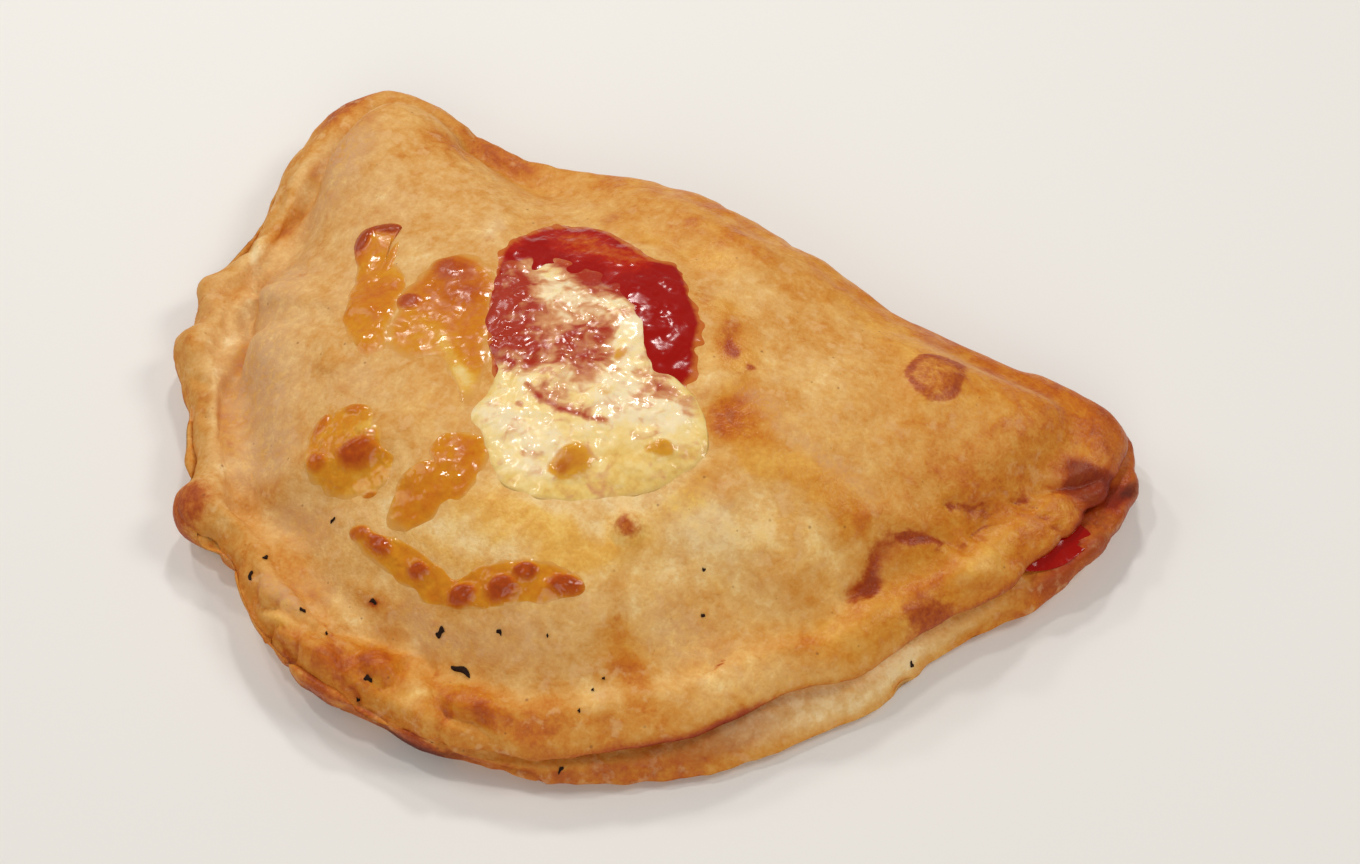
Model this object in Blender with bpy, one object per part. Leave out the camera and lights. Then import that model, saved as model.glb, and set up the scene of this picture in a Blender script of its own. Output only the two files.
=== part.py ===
"""A baked calzone: one folded piece of dough round a tomato and cheese filling, with sauce and melted
cheese on top.

Metres, +Z up. The straight fold runs along X at the back (+Y), the curved seam is at the front (-Y), and
the origin is on the surface that the calzone lies on, under the middle of its box. Sizes in the tables are
millimetres. An angle is in degrees round the vertical through the origin, from +X towards +Y.
"""

import math

import bmesh
import bpy
import numpy as np
from mathutils import Vector
from mathutils.bvhtree import BVHTree

MM = 0.001
GAP = 0.35  # clearance between touching pieces

# Driving sizes of the dough.
CROWN = 37.0  # height of the upper leaf above the surface, at the middle
BASE_INSET = 10.0  # how far the flat base stays inside the outline
RIM_WIDTH = 9.0  # lip to the rim's highest line
GROOVE_INSET = 17.0  # lip to the bottom of the groove behind the rim
SHOULDER_INSET = 32.0
LEAF = 6.5  # thickness of the dough round the filling
FILLING_INSET = 24.0  # outline to the filling's edge, where it doesn't reach the seam
TONGUE_REACH = 4.8  # how far the filling comes out over the lower leaf, past the lip
TONGUE_HALF = 1.1  # half the thickness of the filling's tongue at its tip

# Plan outline, and what changes round the edge, as (angle, millimetres).
OUTLINE = (
    (-179.5, 121), (-177, 116), (-174, 113.5), (-171, 114), (-168, 111.5), (-164, 106.5), (-160, 102.5),
    (-155, 100), (-149, 97), (-145, 96), (-140.5, 97), (-136.5, 95.5), (-133, 91.5), (-129, 88), (-124, 88.5),
    (-115, 89), (-100, 86), (-88, 85), (-75, 86), (-50, 86), (-38, 89), (-30, 91), (-20, 94.5), (-15, 97.5),
    (-7, 100), (-2, 101), (3, 106), (9, 116.5), (14, 123.5), (18, 130), (23, 136), (28, 140), (33, 139), (38, 126),
    (44, 110), (53, 94), (67, 85), (85, 82), (105, 87), (118, 92), (129, 102), (136, 116), (142, 136),
    (147, 143), (153, 141), (158, 136), (163, 128.5), (168, 121), (173, 118), (177, 118.5),
)
EDGE = (  # height of the seam over the base, or of the widest line of the fold
    (-170, 7), (-130, 7), (-100, 6.5), (-60, 6.5), (-30, 7.5), (0, 8), (10, 9), (18, 10.5), (27, 10), (40, 10),
    (70, 14), (110, 14), (140, 10), (165, 8),
)
FLANGE = (  # how far the lower leaf reaches out past the lip
    (-180, 0), (-130, 0), (-95, 0), (-70, 0.5), (-55, 2), (-43, 4), (-32, 7), (-22, 7.5), (-14, 5),
    (-6, 4), (2, 2.5), (8, 4), (13, 7.5), (19, 8.5), (25, 6.5), (31, 2), (40, 0), (90, 0), (150, 0),
)
PARTED = (  # 1 where the leaves part in a seam, 0 where the dough is folded
    (-180, 0.3), (-140, 0.15), (-110, 0), (-88, 0), (-72, 0.5), (-58, 1), (-20, 1), (20, 1), (27, 0.7), (38, 0),
    (90, 0), (140, 0), (165, 0.2),
)
DROOP = (  # how far the lower leaf's edge hangs below the seam
    (-180, 0), (-75, 0), (-58, 1.5), (-45, 3.5), (-25, 4), (-8, 4.2), (4, 4), (11, 2), (16, 0), (25, -0.5), (34, 0),
    (90, 0), (140, 0),
)
LIP = (  # height of the rim's highest line over the edge
    (-180, 8), (-140, 8), (-100, 8), (-60, 9), (-25, 9), (5, 8.5), (18, 6.5), (27, 8), (45, 13), (75, 16),
    (105, 15), (128, 10), (147, 12), (165, 9),
)
GROOVE = (  # depth of the groove behind the rim
    (-180, 2.5), (-140, 2.5), (-100, 2), (-60, 0.5), (-20, 0), (10, 0.5), (40, -2), (90, -4),
    (130, -1), (150, 1), (165, 2),
)
OPENING = (  # how far the filling comes out towards the seam, 0 to 1
    (-180, 0), (-90, 0), (-50, 0), (-20, 0), (0, 0), (7, 0), (11, 0.3), (14, 1), (20, 1), (23, 0.3), (27, 0),
    (38, 0), (90, 0), (140, 0),
)

# Broad swells and hollows of the upper leaf: x, y, radius along x, radius along y, height.
SWELLS = (
    (8, 22, 62, 34, 4.0),
    (-104, 58, 26, 24, 7.0),
    (-62, 74, 24, 18, -5.0),
    (70, 6, 40, 30, 3.0),
    (-48, -30, 42, 30, 3.0),
    (30, -48, 40, 22, 3.0),
    (98, 46, 26, 18, 1.5),
)
# Creases pressed into the dough: width, depth, then points of the line as x, y.
CREASES = (
    (3.0, 2.0, ((-107, 64), (-107, 42), (-106, 28), (-104, 17), (-97, 4), (-93, -8), (-95, -14), (-90, -21))),
    (2.4, 1.7, ((-92, -18), (-86, -30), (-78, -41), (-68, -49), (-60, -54))),
    (2.2, 1.3, ((-62, -55), (-50, -61), (-40, -65), (-26, -69))),
    (1.8, 1.4, ((79, -8), (81.5, -4.5), (81.5, -1), (80.3, 3), (83, 9), (86.4, 12.2), (91, 15), (97, 19))),
    (1.8, 1.2, ((-82, 78), (-78, 68), (-70, 60))),
)
# Blisters risen on the dough: x, y, radius, height.
BLISTERS = (
    (72.5, 50, 8.5, 1.8),
    (30.5, -25.5, 3.9, 2.4),
    (-73, -59, 7.5, 3.6),
    (95, -3, 6.5, 1.8),
    (13, 60, 9.0, 1.0),
    (-6.5, -73.5, 4.6, 1.6),
    (18, -72.5, 5.0, 1.6),
)

DOUGH_SEGMENTS = 96
DOUGH_STEPS = (1, 1, 1, 1, 1, 1, 1, 2, 1, 1, 2, 2, 3, 3)  # rings between one knot of a section and the next
FILLING_SEGMENTS = 48
FILLING_STEPS = (1, 1, 1, 1, 1, 1, 1, 1, 2)
BLANK_SEGMENTS = 34
BLANK_RINGS = 8
BLANK_DEPTH = 2.5  # how far a topping's blank reaches into the dough before it is cut


def around(table, angle):
    """The value at an angle of a table of (angle, value), joined smoothly all the way round."""
    rows = sorted(table)
    angles = [a for a, _ in rows]
    values = [v for _, v in rows]
    angles = [angles[-2] - 360, angles[-1] - 360, *angles, angles[0] + 360, angles[1] + 360]
    values = [values[-2], values[-1], *values, values[0], values[1]]
    angle = (angle + 180) % 360 - 180
    if angle < angles[1]:
        angle += 360
    i = max(k for k in range(1, len(angles) - 2) if angles[k] <= angle)
    a0, a1, a2, a3 = angles[i - 1 : i + 3]
    v0, v1, v2, v3 = values[i - 1 : i + 3]
    span = a2 - a1
    t = (angle - a1) / span
    slope1 = (v2 - v0) / (a2 - a0) * span
    slope2 = (v3 - v1) / (a3 - a1) * span
    low, high = 2 * t**3 - 3 * t**2 + 1, 3 * t**2 - 2 * t**3
    return low * v1 + high * v2 + (t**3 - 2 * t**2 + t) * slope1 + (t**3 - t**2) * slope2


def along(knots, u):
    """The point at u on a smooth curve through the knots, where u counts knots."""
    i = min(int(u), len(knots) - 2)
    t = u - i
    p1, p2 = knots[i], knots[i + 1]
    p0 = knots[i - 1] if i else p1
    p3 = knots[i + 2] if i + 2 < len(knots) else p2
    slope1, slope2 = (p2 - p0) / 2, (p3 - p1) / 2
    low, high = 2 * t**3 - 3 * t**2 + 1, 3 * t**2 - 2 * t**3
    return low * p1 + high * p2 + (t**3 - 2 * t**2 + t) * slope1 + (t**3 - t**2) * slope2


def stops(steps):
    """Where the rings of a section lie, counted in knots."""
    return [i + k / n for i, n in enumerate(steps) for k in range(n)] + [len(steps)]


def dough_section(angle):
    """Knots of the dough's section at an angle, as (inward distance, height), from the middle of the
    base, round the edge and over the rim to the crown."""
    reach, edge, flange = around(OUTLINE, angle), around(EDGE, angle), around(FLANGE, angle)
    parted, lip, groove = around(PARTED, angle), around(LIP, angle), around(GROOVE, angle)
    outer = edge - around(DROOP, angle)
    top = edge + lip
    low = top - groove
    rise = CROWN - low
    return np.array([
        (reach, 0),
        (reach * 0.5, 0),
        (BASE_INSET, 0),
        (3.2, outer * 0.18),
        (0.8 - 0.8 * parted, outer * 0.6),
        (1.6 * parted, outer),
        (flange * 0.6 + 1.8 * parted, 0.4 * outer + 0.6 * edge + 0.4 + 1.6 * (1 - parted)),
        (flange + 0.2 + 5 * parted, edge + 0.3 + 3.7 * (1 - parted)),
        (flange + 1.2 - 0.4 * parted, edge + 0.4 * lip),
        (flange + 3.6, edge + 0.78 * lip),
        (flange + RIM_WIDTH, top),
        (flange + GROOVE_INSET, low),
        (flange + SHOULDER_INSET, low + 0.45 * rise),
        (0.62 * reach, low + 0.86 * rise),
        (reach, CROWN),
    ])


def filling_section(angle):
    """Knots of the filling's section at an angle, from the middle of its underside to its top."""
    reach, edge, flange = around(OUTLINE, angle), around(EDGE, angle), around(FLANGE, angle)
    low = edge + around(LIP, angle) - around(GROOVE, angle)
    rise = CROWN - low
    opening = min(1, max(0, around(OPENING, angle)))
    tip = (1 - opening) * FILLING_INSET + opening * (flange - TONGUE_REACH)
    back = max(tip + 6, flange + 12)
    seam = edge + 1.3 + 1.4 * (1 - opening)
    return np.array([
        (reach, LEAF),
        (reach * 0.5, LEAF),
        (FILLING_INSET + 8, LEAF),
        (back, seam - 1.8),
        (tip + 0.8, seam - TONGUE_HALF),
        (tip, seam),
        (tip + 0.8, seam + TONGUE_HALF),
        (back, seam + 2),
        (flange + SHOULDER_INSET + 4, low + 0.4 * rise - LEAF),
        (reach, CROWN - LEAF),
    ])


def relief(x, y):
    """Height in millimetres that swells, creases and blisters add to the upper leaf."""
    height = 0.0
    for cx, cy, rx, ry, rise in SWELLS:
        height += rise * math.exp(-(((x - cx) / rx) ** 2 + ((y - cy) / ry) ** 2))
    for width, depth, line in CREASES:
        near = min(distance_to(x, y, *a, *b) for a, b in zip(line, line[1:]))
        height -= depth * math.exp(-((near / width) ** 2))
    for cx, cy, radius, rise in BLISTERS:
        height += rise * math.exp(-((math.hypot(x - cx, y - cy) / radius) ** 4))
    return height


def distance_to(x, y, x0, y0, x1, y1):
    """Distance from (x, y) to the straight run from (x0, y0) to (x1, y1)."""
    dx, dy = x1 - x0, y1 - y0
    t = min(1, max(0, ((x - x0) * dx + (y - y0) * dy) / (dx * dx + dy * dy)))
    return math.hypot(x - x0 - t * dx, y - y0 - t * dy)


def blend(value, start, end):
    t = min(1, max(0, (value - start) / (end - start)))
    return t * t * (3 - 2 * t)


def clear_scene():
    for obj in list(bpy.data.objects):
        bpy.data.objects.remove(obj, do_unlink=True)


def collection(name):
    made = bpy.data.collections.new(name)
    bpy.context.scene.collection.children.link(made)
    return made


def material(name, colour, roughness):
    made = bpy.data.materials.new(name)
    made.use_nodes = True
    shader = made.node_tree.nodes["Principled BSDF"]
    shader.inputs["Base Color"].default_value = (*colour, 1)
    shader.inputs["Roughness"].default_value = roughness
    shader.inputs["Metallic"].default_value = 0
    made.diffuse_color = (*colour, 1)
    return made


def ball(name, segments, rings, target):
    """A UV sphere of radius 1, to be shaped by moving its points."""
    bm = bmesh.new()
    bmesh.ops.create_uvsphere(bm, u_segments=segments, v_segments=rings, radius=1)
    mesh = bpy.data.meshes.new(name)
    bm.to_mesh(mesh)
    bm.free()
    obj = bpy.data.objects.new(name, mesh)
    target.objects.link(obj)
    return obj


def split_quads(obj):
    """Split every face into triangles the same way, so a shape and its grown copy stay parallel."""
    bm = bmesh.new()
    bm.from_mesh(obj.data)
    bmesh.ops.triangulate(bm, faces=bm.faces, quad_method="FIXED")
    bm.to_mesh(obj.data)
    bm.free()


def grow_mesh(obj, distance):
    """Push every face of an object out by a distance in millimetres."""
    bm = bmesh.new()
    bm.from_mesh(obj.data)
    pushes = [v.normal * min(3, v.calc_shell_factor()) * distance * MM for v in bm.verts]
    for vertex, push in zip(bm.verts, pushes):
        vertex.co += push
    bm.to_mesh(obj.data)
    bm.free()


def finish(obj, look, sharp_degrees=50):
    obj.data.materials.clear()
    obj.data.materials.append(look)
    obj.data.shade_smooth()
    obj.data.set_sharp_from_angle(angle=math.radians(sharp_degrees))
    return obj


def place(vertex, rings):
    """A sphere vertex's angle in degrees, and its ring counted from the bottom pole."""
    ring = rings - round(math.acos(max(-1, min(1, vertex.co.z))) / math.pi * rings)
    return round(math.degrees(math.atan2(vertex.co.y, vertex.co.x)), 3), ring


def swept_round(name, target, segments, steps, section, relief_levels):
    """A closed shape made of a section at each angle round the vertical. Rings between the two
    relief_levels take on the relief of the upper leaf."""
    levels = stops(steps)
    rings = len(levels) - 1
    obj = ball(name, segments, rings, target)
    sections = {}
    for vertex in obj.data.vertices:
        angle, ring = place(vertex, rings)
        if angle not in sections:
            sections[angle] = section(angle)
        inward, height = along(sections[angle], levels[ring])
        out = around(OUTLINE, angle) - inward
        x, y = out * math.cos(math.radians(angle)), out * math.sin(math.radians(angle))
        height += relief(x, y) * blend(levels[ring], *relief_levels)
        vertex.co = Vector((x, y, height)) * MM
    split_quads(obj)
    return obj


def dough_shape(name, target):
    return swept_round(name, target, DOUGH_SEGMENTS, DOUGH_STEPS, dough_section, (9, 11.5))


def filling_shape(name, target):
    return swept_round(name, target, FILLING_SEGMENTS, FILLING_STEPS, filling_section, (7, 8))


def surface_of(obj):
    """A function that gives the height of an object's top at (x, y), in metres."""
    graph = bpy.context.evaluated_depsgraph_get()
    tree = BVHTree.FromObject(obj, graph)

    def height(x, y):
        return tree.ray_cast(Vector((x, y, 0.2)), Vector((0, 0, -1)))[0].z

    return height


def blank(name, target, top, thickness, grow, plan):
    """A topping's blank: a rounded pat that follows the dough's top and reaches a little into it. plan
    gives the place in millimetres of a point of the unit disc."""
    obj = ball(name, BLANK_SEGMENTS, BLANK_RINGS, target)
    for vertex in obj.data.vertices:
        angle = math.atan2(vertex.co.y, vertex.co.x)
        share = max(0, 1 - vertex.co.z**2) ** 0.3
        x, y = plan(share * math.cos(angle), share * math.sin(angle))
        body = thickness + grow if vertex.co.z > 0 else BLANK_DEPTH
        vertex.co = Vector((x * MM, y * MM, top(x * MM, y * MM) + body * MM * vertex.co.z))
    split_quads(obj)
    return obj


def pool_plan(centre, outline, grow):
    """A pool whose outline is given as points round a centre."""
    steps = [(x - centre[0], y - centre[1]) for x, y in outline]
    reach = [(math.degrees(math.atan2(dy, dx)), math.hypot(dx, dy)) for dx, dy in steps]

    def plan(u, v):
        spread = math.hypot(u, v) * (around(reach, math.degrees(math.atan2(v, u))) + grow)
        heading = math.atan2(v, u)
        return centre[0] + spread * math.cos(heading), centre[1] + spread * math.sin(heading)

    return plan


def strip_plan(line, half_width, grow):
    knots = np.array(line, dtype=float)

    def plan(u, v):
        place_on_line = (u + 1) / 2 * (len(knots) - 1)
        x, y = along(knots, place_on_line)
        ahead = along(knots, min(place_on_line + 0.02, len(knots) - 1))
        behind = along(knots, max(place_on_line - 0.02, 0))
        run_x, run_y = (ahead - behind) / np.linalg.norm(ahead - behind)
        side = v * (half_width + grow)
        past = grow * u
        return x - run_y * side + run_x * past, y + run_x * side + run_y * past

    return plan


def cut(obj, cutter):
    modifier = obj.modifiers.new(f"cut by {cutter.name}", "BOOLEAN")
    modifier.operation = "DIFFERENCE"
    modifier.solver = "EXACT"
    modifier.object = cutter


def as_cutter(obj, grow=0.0):
    """Make an object a cutter, grown by a clearance."""
    if grow:
        grow_mesh(obj, grow)
    obj.hide_render = True
    obj.display_type = "WIRE"
    return obj


TOMATO_OUTLINE = (
    (-38, 21), (-41, 31), (-41, 41), (-37, 49), (-30, 53), (-23, 53), (-13.5, 49.5), (-5.5, 47), (2.6, 48.5),
    (11, 40), (20, 31), (23, 23), (26, 12), (21, 7), (8, 0), (-8, -8), (-17, -9), (-24, -2), (-30, 6), (-35, 13),
)
CHEESE_OUTLINE = (
    (-17.5, -19), (-17.5, -12.5), (-19, -6), (-25, 1), (-32, 9), (-36.5, 18), (-37, 27), (-34, 34), (-27, 40),
    (-19, 41), (-10, 38.5), (-3, 34), (3.5, 29), (10, 22), (14.5, 16), (22, 12.3), (29, 9.5), (34.5, 4.5),
    (37.3, -2.5), (35.2, -9.7), (31, -16.2), (24.6, -21.5), (14.3, -28.2), (7.4, -31.3), (0.4, -31.6), (-5.5, -28),
    (-11, -22.5),
)
PATCH_OUTLINE = (
    (-57, 6.6), (-55.5, 13.3), (-54, 19), (-50, 24), (-45, 26), (-40, 24), (-34, 19), (-30, 11), (-25, 3),
    (-20.5, -5), (-17.5, -13), (-19, -17), (-24.8, -13.5), (-30, -11), (-35, -10), (-40, -11),
    (-45.4, -10.8), (-49.5, -9.4), (-53.5, 1),
)
CURL_OUTLINE = (
    (-74.6, 13.9), (-79, 18.9), (-79, 23.1), (-76.5, 26.4), (-70, 27.8), (-67, 25), (-68, 20.5), (-64, 16.5),
    (-56, 12.4), (-54, 4.4), (-50, -5.5), (-47.2, -11.2), (-48.5, -14.9), (-53.9, -14), (-60.4, -10.8),
    (-66.6, -2.6), (-71, 6.3),
)
RING_OUTLINE = (
    (-24.5, -38), (-25.5, -34.5), (-31, -33), (-37, -30), (-40, -25.6), (-46, -24.8), (-51, -28), (-54, -34),
    (-52.5, -40), (-48, -45.5), (-41, -47), (-34, -47), (-27, -44.5),
)
DRIP_OUTLINE = (
    (-21, -28.5), (-15.8, -22.5), (-10.5, -20.5), (-6.5, -26), (-5.3, -33), (-6, -38.5), (-10, -42), (-12, -46),
    (-15.4, -50), (-21, -49.5), (-23.5, -43.5), (-23, -37.5), (-19, -33),
)
RIDGE_LINE = ((-31, -52.4), (-20, -53.3), (-9, -54.6), (4, -54.5), (12, -50.4), (21, -45.4), (30, -40.6))

# Toppings that lie in a pool: node, look, centre, outline, thickness, and the nodes that cut it.
POOLS = (
    ("tomato_pool", "tomato", (-8, 22), TOMATO_OUTLINE, 2.0, ()),
    ("cheese_pool", "mozzarella", (0, 4), CHEESE_OUTLINE, 3.6, ("tomato_pool",)),
    ("cheese_patch", "browned_cheese", (-39, 6), PATCH_OUTLINE, 2.0, ("tomato_pool", "cheese_pool")),
    ("cheese_ring", "browned_cheese", (-39, -36), RING_OUTLINE, 2.2, ()),
    ("cheese_curl", "browned_cheese", (-65, 7), CURL_OUTLINE, 2.0, ("cheese_patch",)),
    ("cheese_drip", "browned_cheese", (-14.5, -34), DRIP_OUTLINE, 1.6, ("cheese_pool", "cheese_ring")),
)
# Toppings that ran out in a strip: node, look, points of the line, half width, thickness, cutting nodes.
STRIPS = (
    ("cheese_ridge", "browned_cheese", RIDGE_LINE, 4.2, 2.4, ("cheese_drip", "cheese_ring")),
)


def build():
    clear_scene()
    parts = collection("calzone")
    cutters = collection("cutters")
    looks = {
        "baked_dough": material("baked_dough", (0.74, 0.49, 0.24), 0.55),
        "filling": material("filling", (0.50, 0.05, 0.02), 0.3),
        "tomato": material("tomato", (0.47, 0.02, 0.015), 0.25),
        "mozzarella": material("mozzarella", (0.88, 0.75, 0.50), 0.3),
        "browned_cheese": material("browned_cheese", (0.72, 0.33, 0.06), 0.35),
    }

    dough = finish(dough_shape("dough", parts), looks["baked_dough"])
    bpy.context.view_layer.update()
    top = surface_of(dough)
    skin = as_cutter(dough_shape("dough_skin", cutters), GAP)
    cut(dough, as_cutter(filling_shape("cavity", cutters), GAP))
    finish(filling_shape("filling", parts), looks["filling"])

    clearances = {}
    plans = [(*row[:2], pool_plan, row[2:4], *row[4:]) for row in POOLS]
    plans += [(*row[:2], strip_plan, row[2:4], *row[4:]) for row in STRIPS]
    for name, look, kind, shape, thickness, cut_by in plans:
        piece = finish(blank(name, parts, top, thickness, 0, kind(*shape, 0)), looks[look])
        cut(piece, skin)
        for other in cut_by:
            cut(piece, clearances[other])
        grown = blank(f"{name}_clearance", cutters, top, thickness, GAP, kind(*shape, GAP))
        clearances[name] = as_cutter(grown)


build()
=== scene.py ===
"""A baked calzone, lying on its flat underside: a crust folded over a tomato filling, with tomato sauce,
melted mozzarella and browned cheese on its upper leaf.

Lengths in the tables and the functions are millimetres, in the frame's own axes: X runs along the fold, Y
from the curved seam to the fold, Z up. An angle is in degrees round the vertical through the origin.
"""

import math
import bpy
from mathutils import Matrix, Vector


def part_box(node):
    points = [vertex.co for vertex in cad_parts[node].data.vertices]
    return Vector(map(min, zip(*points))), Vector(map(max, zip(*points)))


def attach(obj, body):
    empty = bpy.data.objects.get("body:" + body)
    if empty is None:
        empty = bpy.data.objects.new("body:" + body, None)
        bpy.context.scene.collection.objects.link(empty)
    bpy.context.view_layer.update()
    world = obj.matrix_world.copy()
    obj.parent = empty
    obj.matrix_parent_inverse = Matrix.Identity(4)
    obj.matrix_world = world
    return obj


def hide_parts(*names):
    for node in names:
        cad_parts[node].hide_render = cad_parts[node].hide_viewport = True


bl_info = {
    "name": "Calzone",
    "version": (1, 0, 0),
    "blender": (4, 5, 0),
    "location": "3D View > Sidebar > Calzone",
    "description": "Models a baked calzone with sauce and melted cheese round its packed solids",
    "category": "Add Mesh",
}

import bpy
import numpy as np
from mathutils import Vector

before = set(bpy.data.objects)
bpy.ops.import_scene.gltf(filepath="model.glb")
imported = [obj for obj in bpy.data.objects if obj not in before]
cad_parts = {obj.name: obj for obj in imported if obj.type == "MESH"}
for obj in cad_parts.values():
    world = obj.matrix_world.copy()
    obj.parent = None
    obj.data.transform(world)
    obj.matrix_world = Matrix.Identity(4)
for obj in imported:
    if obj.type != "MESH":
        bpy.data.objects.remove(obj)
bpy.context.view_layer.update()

DOUGH_LOW, DOUGH_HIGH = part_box("dough")
DESIGN_LENGTH = 250.0  # length along the fold that the tables below are written for
MM = (DOUGH_HIGH[0] - DOUGH_LOW[0]) / DESIGN_LENGTH
BODY = "root"

# ---------------------------------------------------------------- the dough's shape

OUTLINE = (
    (-179.5, 121), (-177, 116), (-174, 113.5), (-171, 114), (-168, 111.5), (-164, 106.5), (-160, 102.5),
    (-155, 100), (-149, 97), (-145, 96), (-140.5, 97), (-136.5, 95.5), (-133, 91.5), (-129, 88),
    (-124, 88.5), (-115, 89), (-100, 86), (-88, 85), (-75, 86), (-50, 86), (-38, 89), (-30, 91),
    (-20, 94.5), (-15, 97.5), (-7, 100), (-2, 101), (3, 106), (9, 116.5), (14, 123.5), (18, 130),
    (23, 136), (28, 140), (33, 139), (38, 126), (44, 110), (53, 94), (67, 85), (85, 82), (105, 87),
    (118, 92), (129, 102), (136, 116), (142, 136), (147, 143), (153, 141), (158, 136), (163, 128.5),
    (168, 121), (173, 118), (177, 118.5),
)
EDGE = (  # height of the seam over the base, or of the widest line of the fold
    (-170, 7), (-130, 7), (-100, 6.5), (-60, 6.5), (-30, 7.5), (0, 8), (10, 9), (18, 10.5), (27, 10),
    (40, 10), (70, 14), (110, 14), (140, 10), (165, 8),
)
FLANGE = (  # how far the lower leaf reaches out past the lip
    (-180, 0), (-130, 0), (-95, 0), (-70, 0.5), (-55, 2), (-43, 4), (-32, 7), (-22, 7.5), (-14, 5),
    (-6, 4), (2, 2.5), (8, 4), (13, 7.5), (19, 8.5), (25, 6.5), (31, 2), (40, 0), (90, 0), (150, 0),
)
PARTED = (  # 1 where the leaves part in a seam, 0 where the dough is folded
    (-180, 0.3), (-140, 0.15), (-110, 0), (-88, 0), (-72, 0.5), (-58, 1), (-20, 1), (20, 1), (27, 0.7),
    (38, 0), (90, 0), (140, 0), (165, 0.2),
)
DROOP = (  # how far the lower leaf's edge hangs below the seam
    (-180, 0), (-75, 0), (-58, 1.5), (-45, 3.5), (-25, 4), (-8, 4.2), (4, 4), (11, 2), (16, 0),
    (25, -0.5), (34, 0), (90, 0), (140, 0),
)
LIP = (  # height of the rim's highest line over the edge
    (-180, 8), (-140, 8), (-100, 8), (-60, 9), (-25, 9), (5, 8.5), (18, 6.5), (27, 8), (45, 13), (75, 16),
    (105, 15), (128, 10), (147, 12), (165, 9),
)
GROOVE = (  # depth of the groove behind the rim
    (-180, 2.5), (-140, 2.5), (-100, 2), (-60, 0.5), (-20, 0), (10, 0.5), (40, -2), (90, -4), (130, -1),
    (150, 1), (165, 2),
)
CROWN = 37.0
BASE_INSET = 10.0
RIM_WIDTH = 9.0
GROOVE_INSET = 17.0
SHOULDER_INSET = 32.0

# Broad swells and hollows of the upper leaf: x, y, radius along x, radius along y, height.
SWELLS = (
    (8, 22, 62, 34, 4.0), (-104, 58, 26, 24, 7.0), (-62, 74, 24, 18, -5.0), (70, 6, 40, 30, 3.0),
    (-48, -30, 42, 30, 3.0), (30, -48, 40, 22, 3.0), (98, 46, 26, 18, 1.5),
)
# Blisters and lumps risen on the dough: x, y, radius along, radius across, turn, height.
LUMPS = (
    (72.5, 50, 7.6, 9.6, 0, 1.5), (30.5, -25.5, 3.6, 3.4, 0, 2.2), (95, -3, 6.0, 7.0, 0, 1.6),
    (-38.5, -71.5, 9.5, 2.8, -8, 1.6), (-35, -77.5, 12.0, 2.6, -6, 1.0), (-24, -80.5, 9.0, 3.0, -4, 1.5),
    (-6.5, -73.5, 5.5, 3.6, 20, 1.8), (-16, -78.5, 5.0, 2.6, 0, 1.2), (18, -72.5, 8.0, 3.4, 4, 1.8),
    (6, -80.5, 6.0, 2.2, 8, 1.3), (31, 18, 5.0, 5.0, 0, 0.7), (46, -7, 4.0, 4.0, 0, 0.6),
    (-60, -18, 4.0, 3.0, 0, 0.5), (13, 60, 9.0, 9.0, 0, 1.0), (100, 16, 6.0, 6.0, 0, 1.4),
    (84, -12, 7.0, 6.0, 40, 1.0), (-15, -62, 7.0, 2.5, 0, 0.6), (-109, 14, 4.5, 6.0, -10, 1.3),
    (-104, -20, 5.0, 5.0, 20, 1.6), (-112, 38, 4.0, 9.0, 5, 1.2), (-100, -30, 3.4, 5.0, 40, 1.0),
    (-90, -40, 3.4, 6.0, 45, 1.0), (-62, -59, 7.0, 2.4, -10, 0.8), (-50, -66, 7.0, 2.4, -12, 0.8),
    (-28, -66.5, 9.0, 2.4, -6, 0.8),
)
# Bulges and notches that reach down the dough's side: x, y, radius, height.
BULGES = (
    (-74, -60, 7.5, 3.0), (-64, -67, 3.0, -1.4), (-84, -51, 3.5, -1.0), (-114, -8, 6.0, 1.2),
    (-113, -24, 7.0, 1.0), (-122, 4, 4.0, 0.8), (-118, 13, 4.5, -0.8), (-126, 66, 9.0, 1.0),
    (120, 52, 4.0, 1.2), (119, 40, 4.0, 1.0), (116, 30, 3.4, 0.8), (124, 62, 4.0, 0.9),
    (99, -14, 3.0, -1.2), (60, 62, 9.0, 1.0), (-20, -84, 8.0, 0.8), (10, -87, 8.0, 0.8),
)
# The long crease between the rim and the crown on the left.
LEFT_CREASE = (
    (-109, 66), (-110.4, 55), (-109.2, 37.3), (-107.5, 21.9), (-104.3, 9), (-98, -4), (-93.2, -14.8),
    (-91.5, -21.6), (-87.5, -28), (-83.6, -33.6), (-77, -42), (-68, -49), (-60, -54),
)
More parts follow.
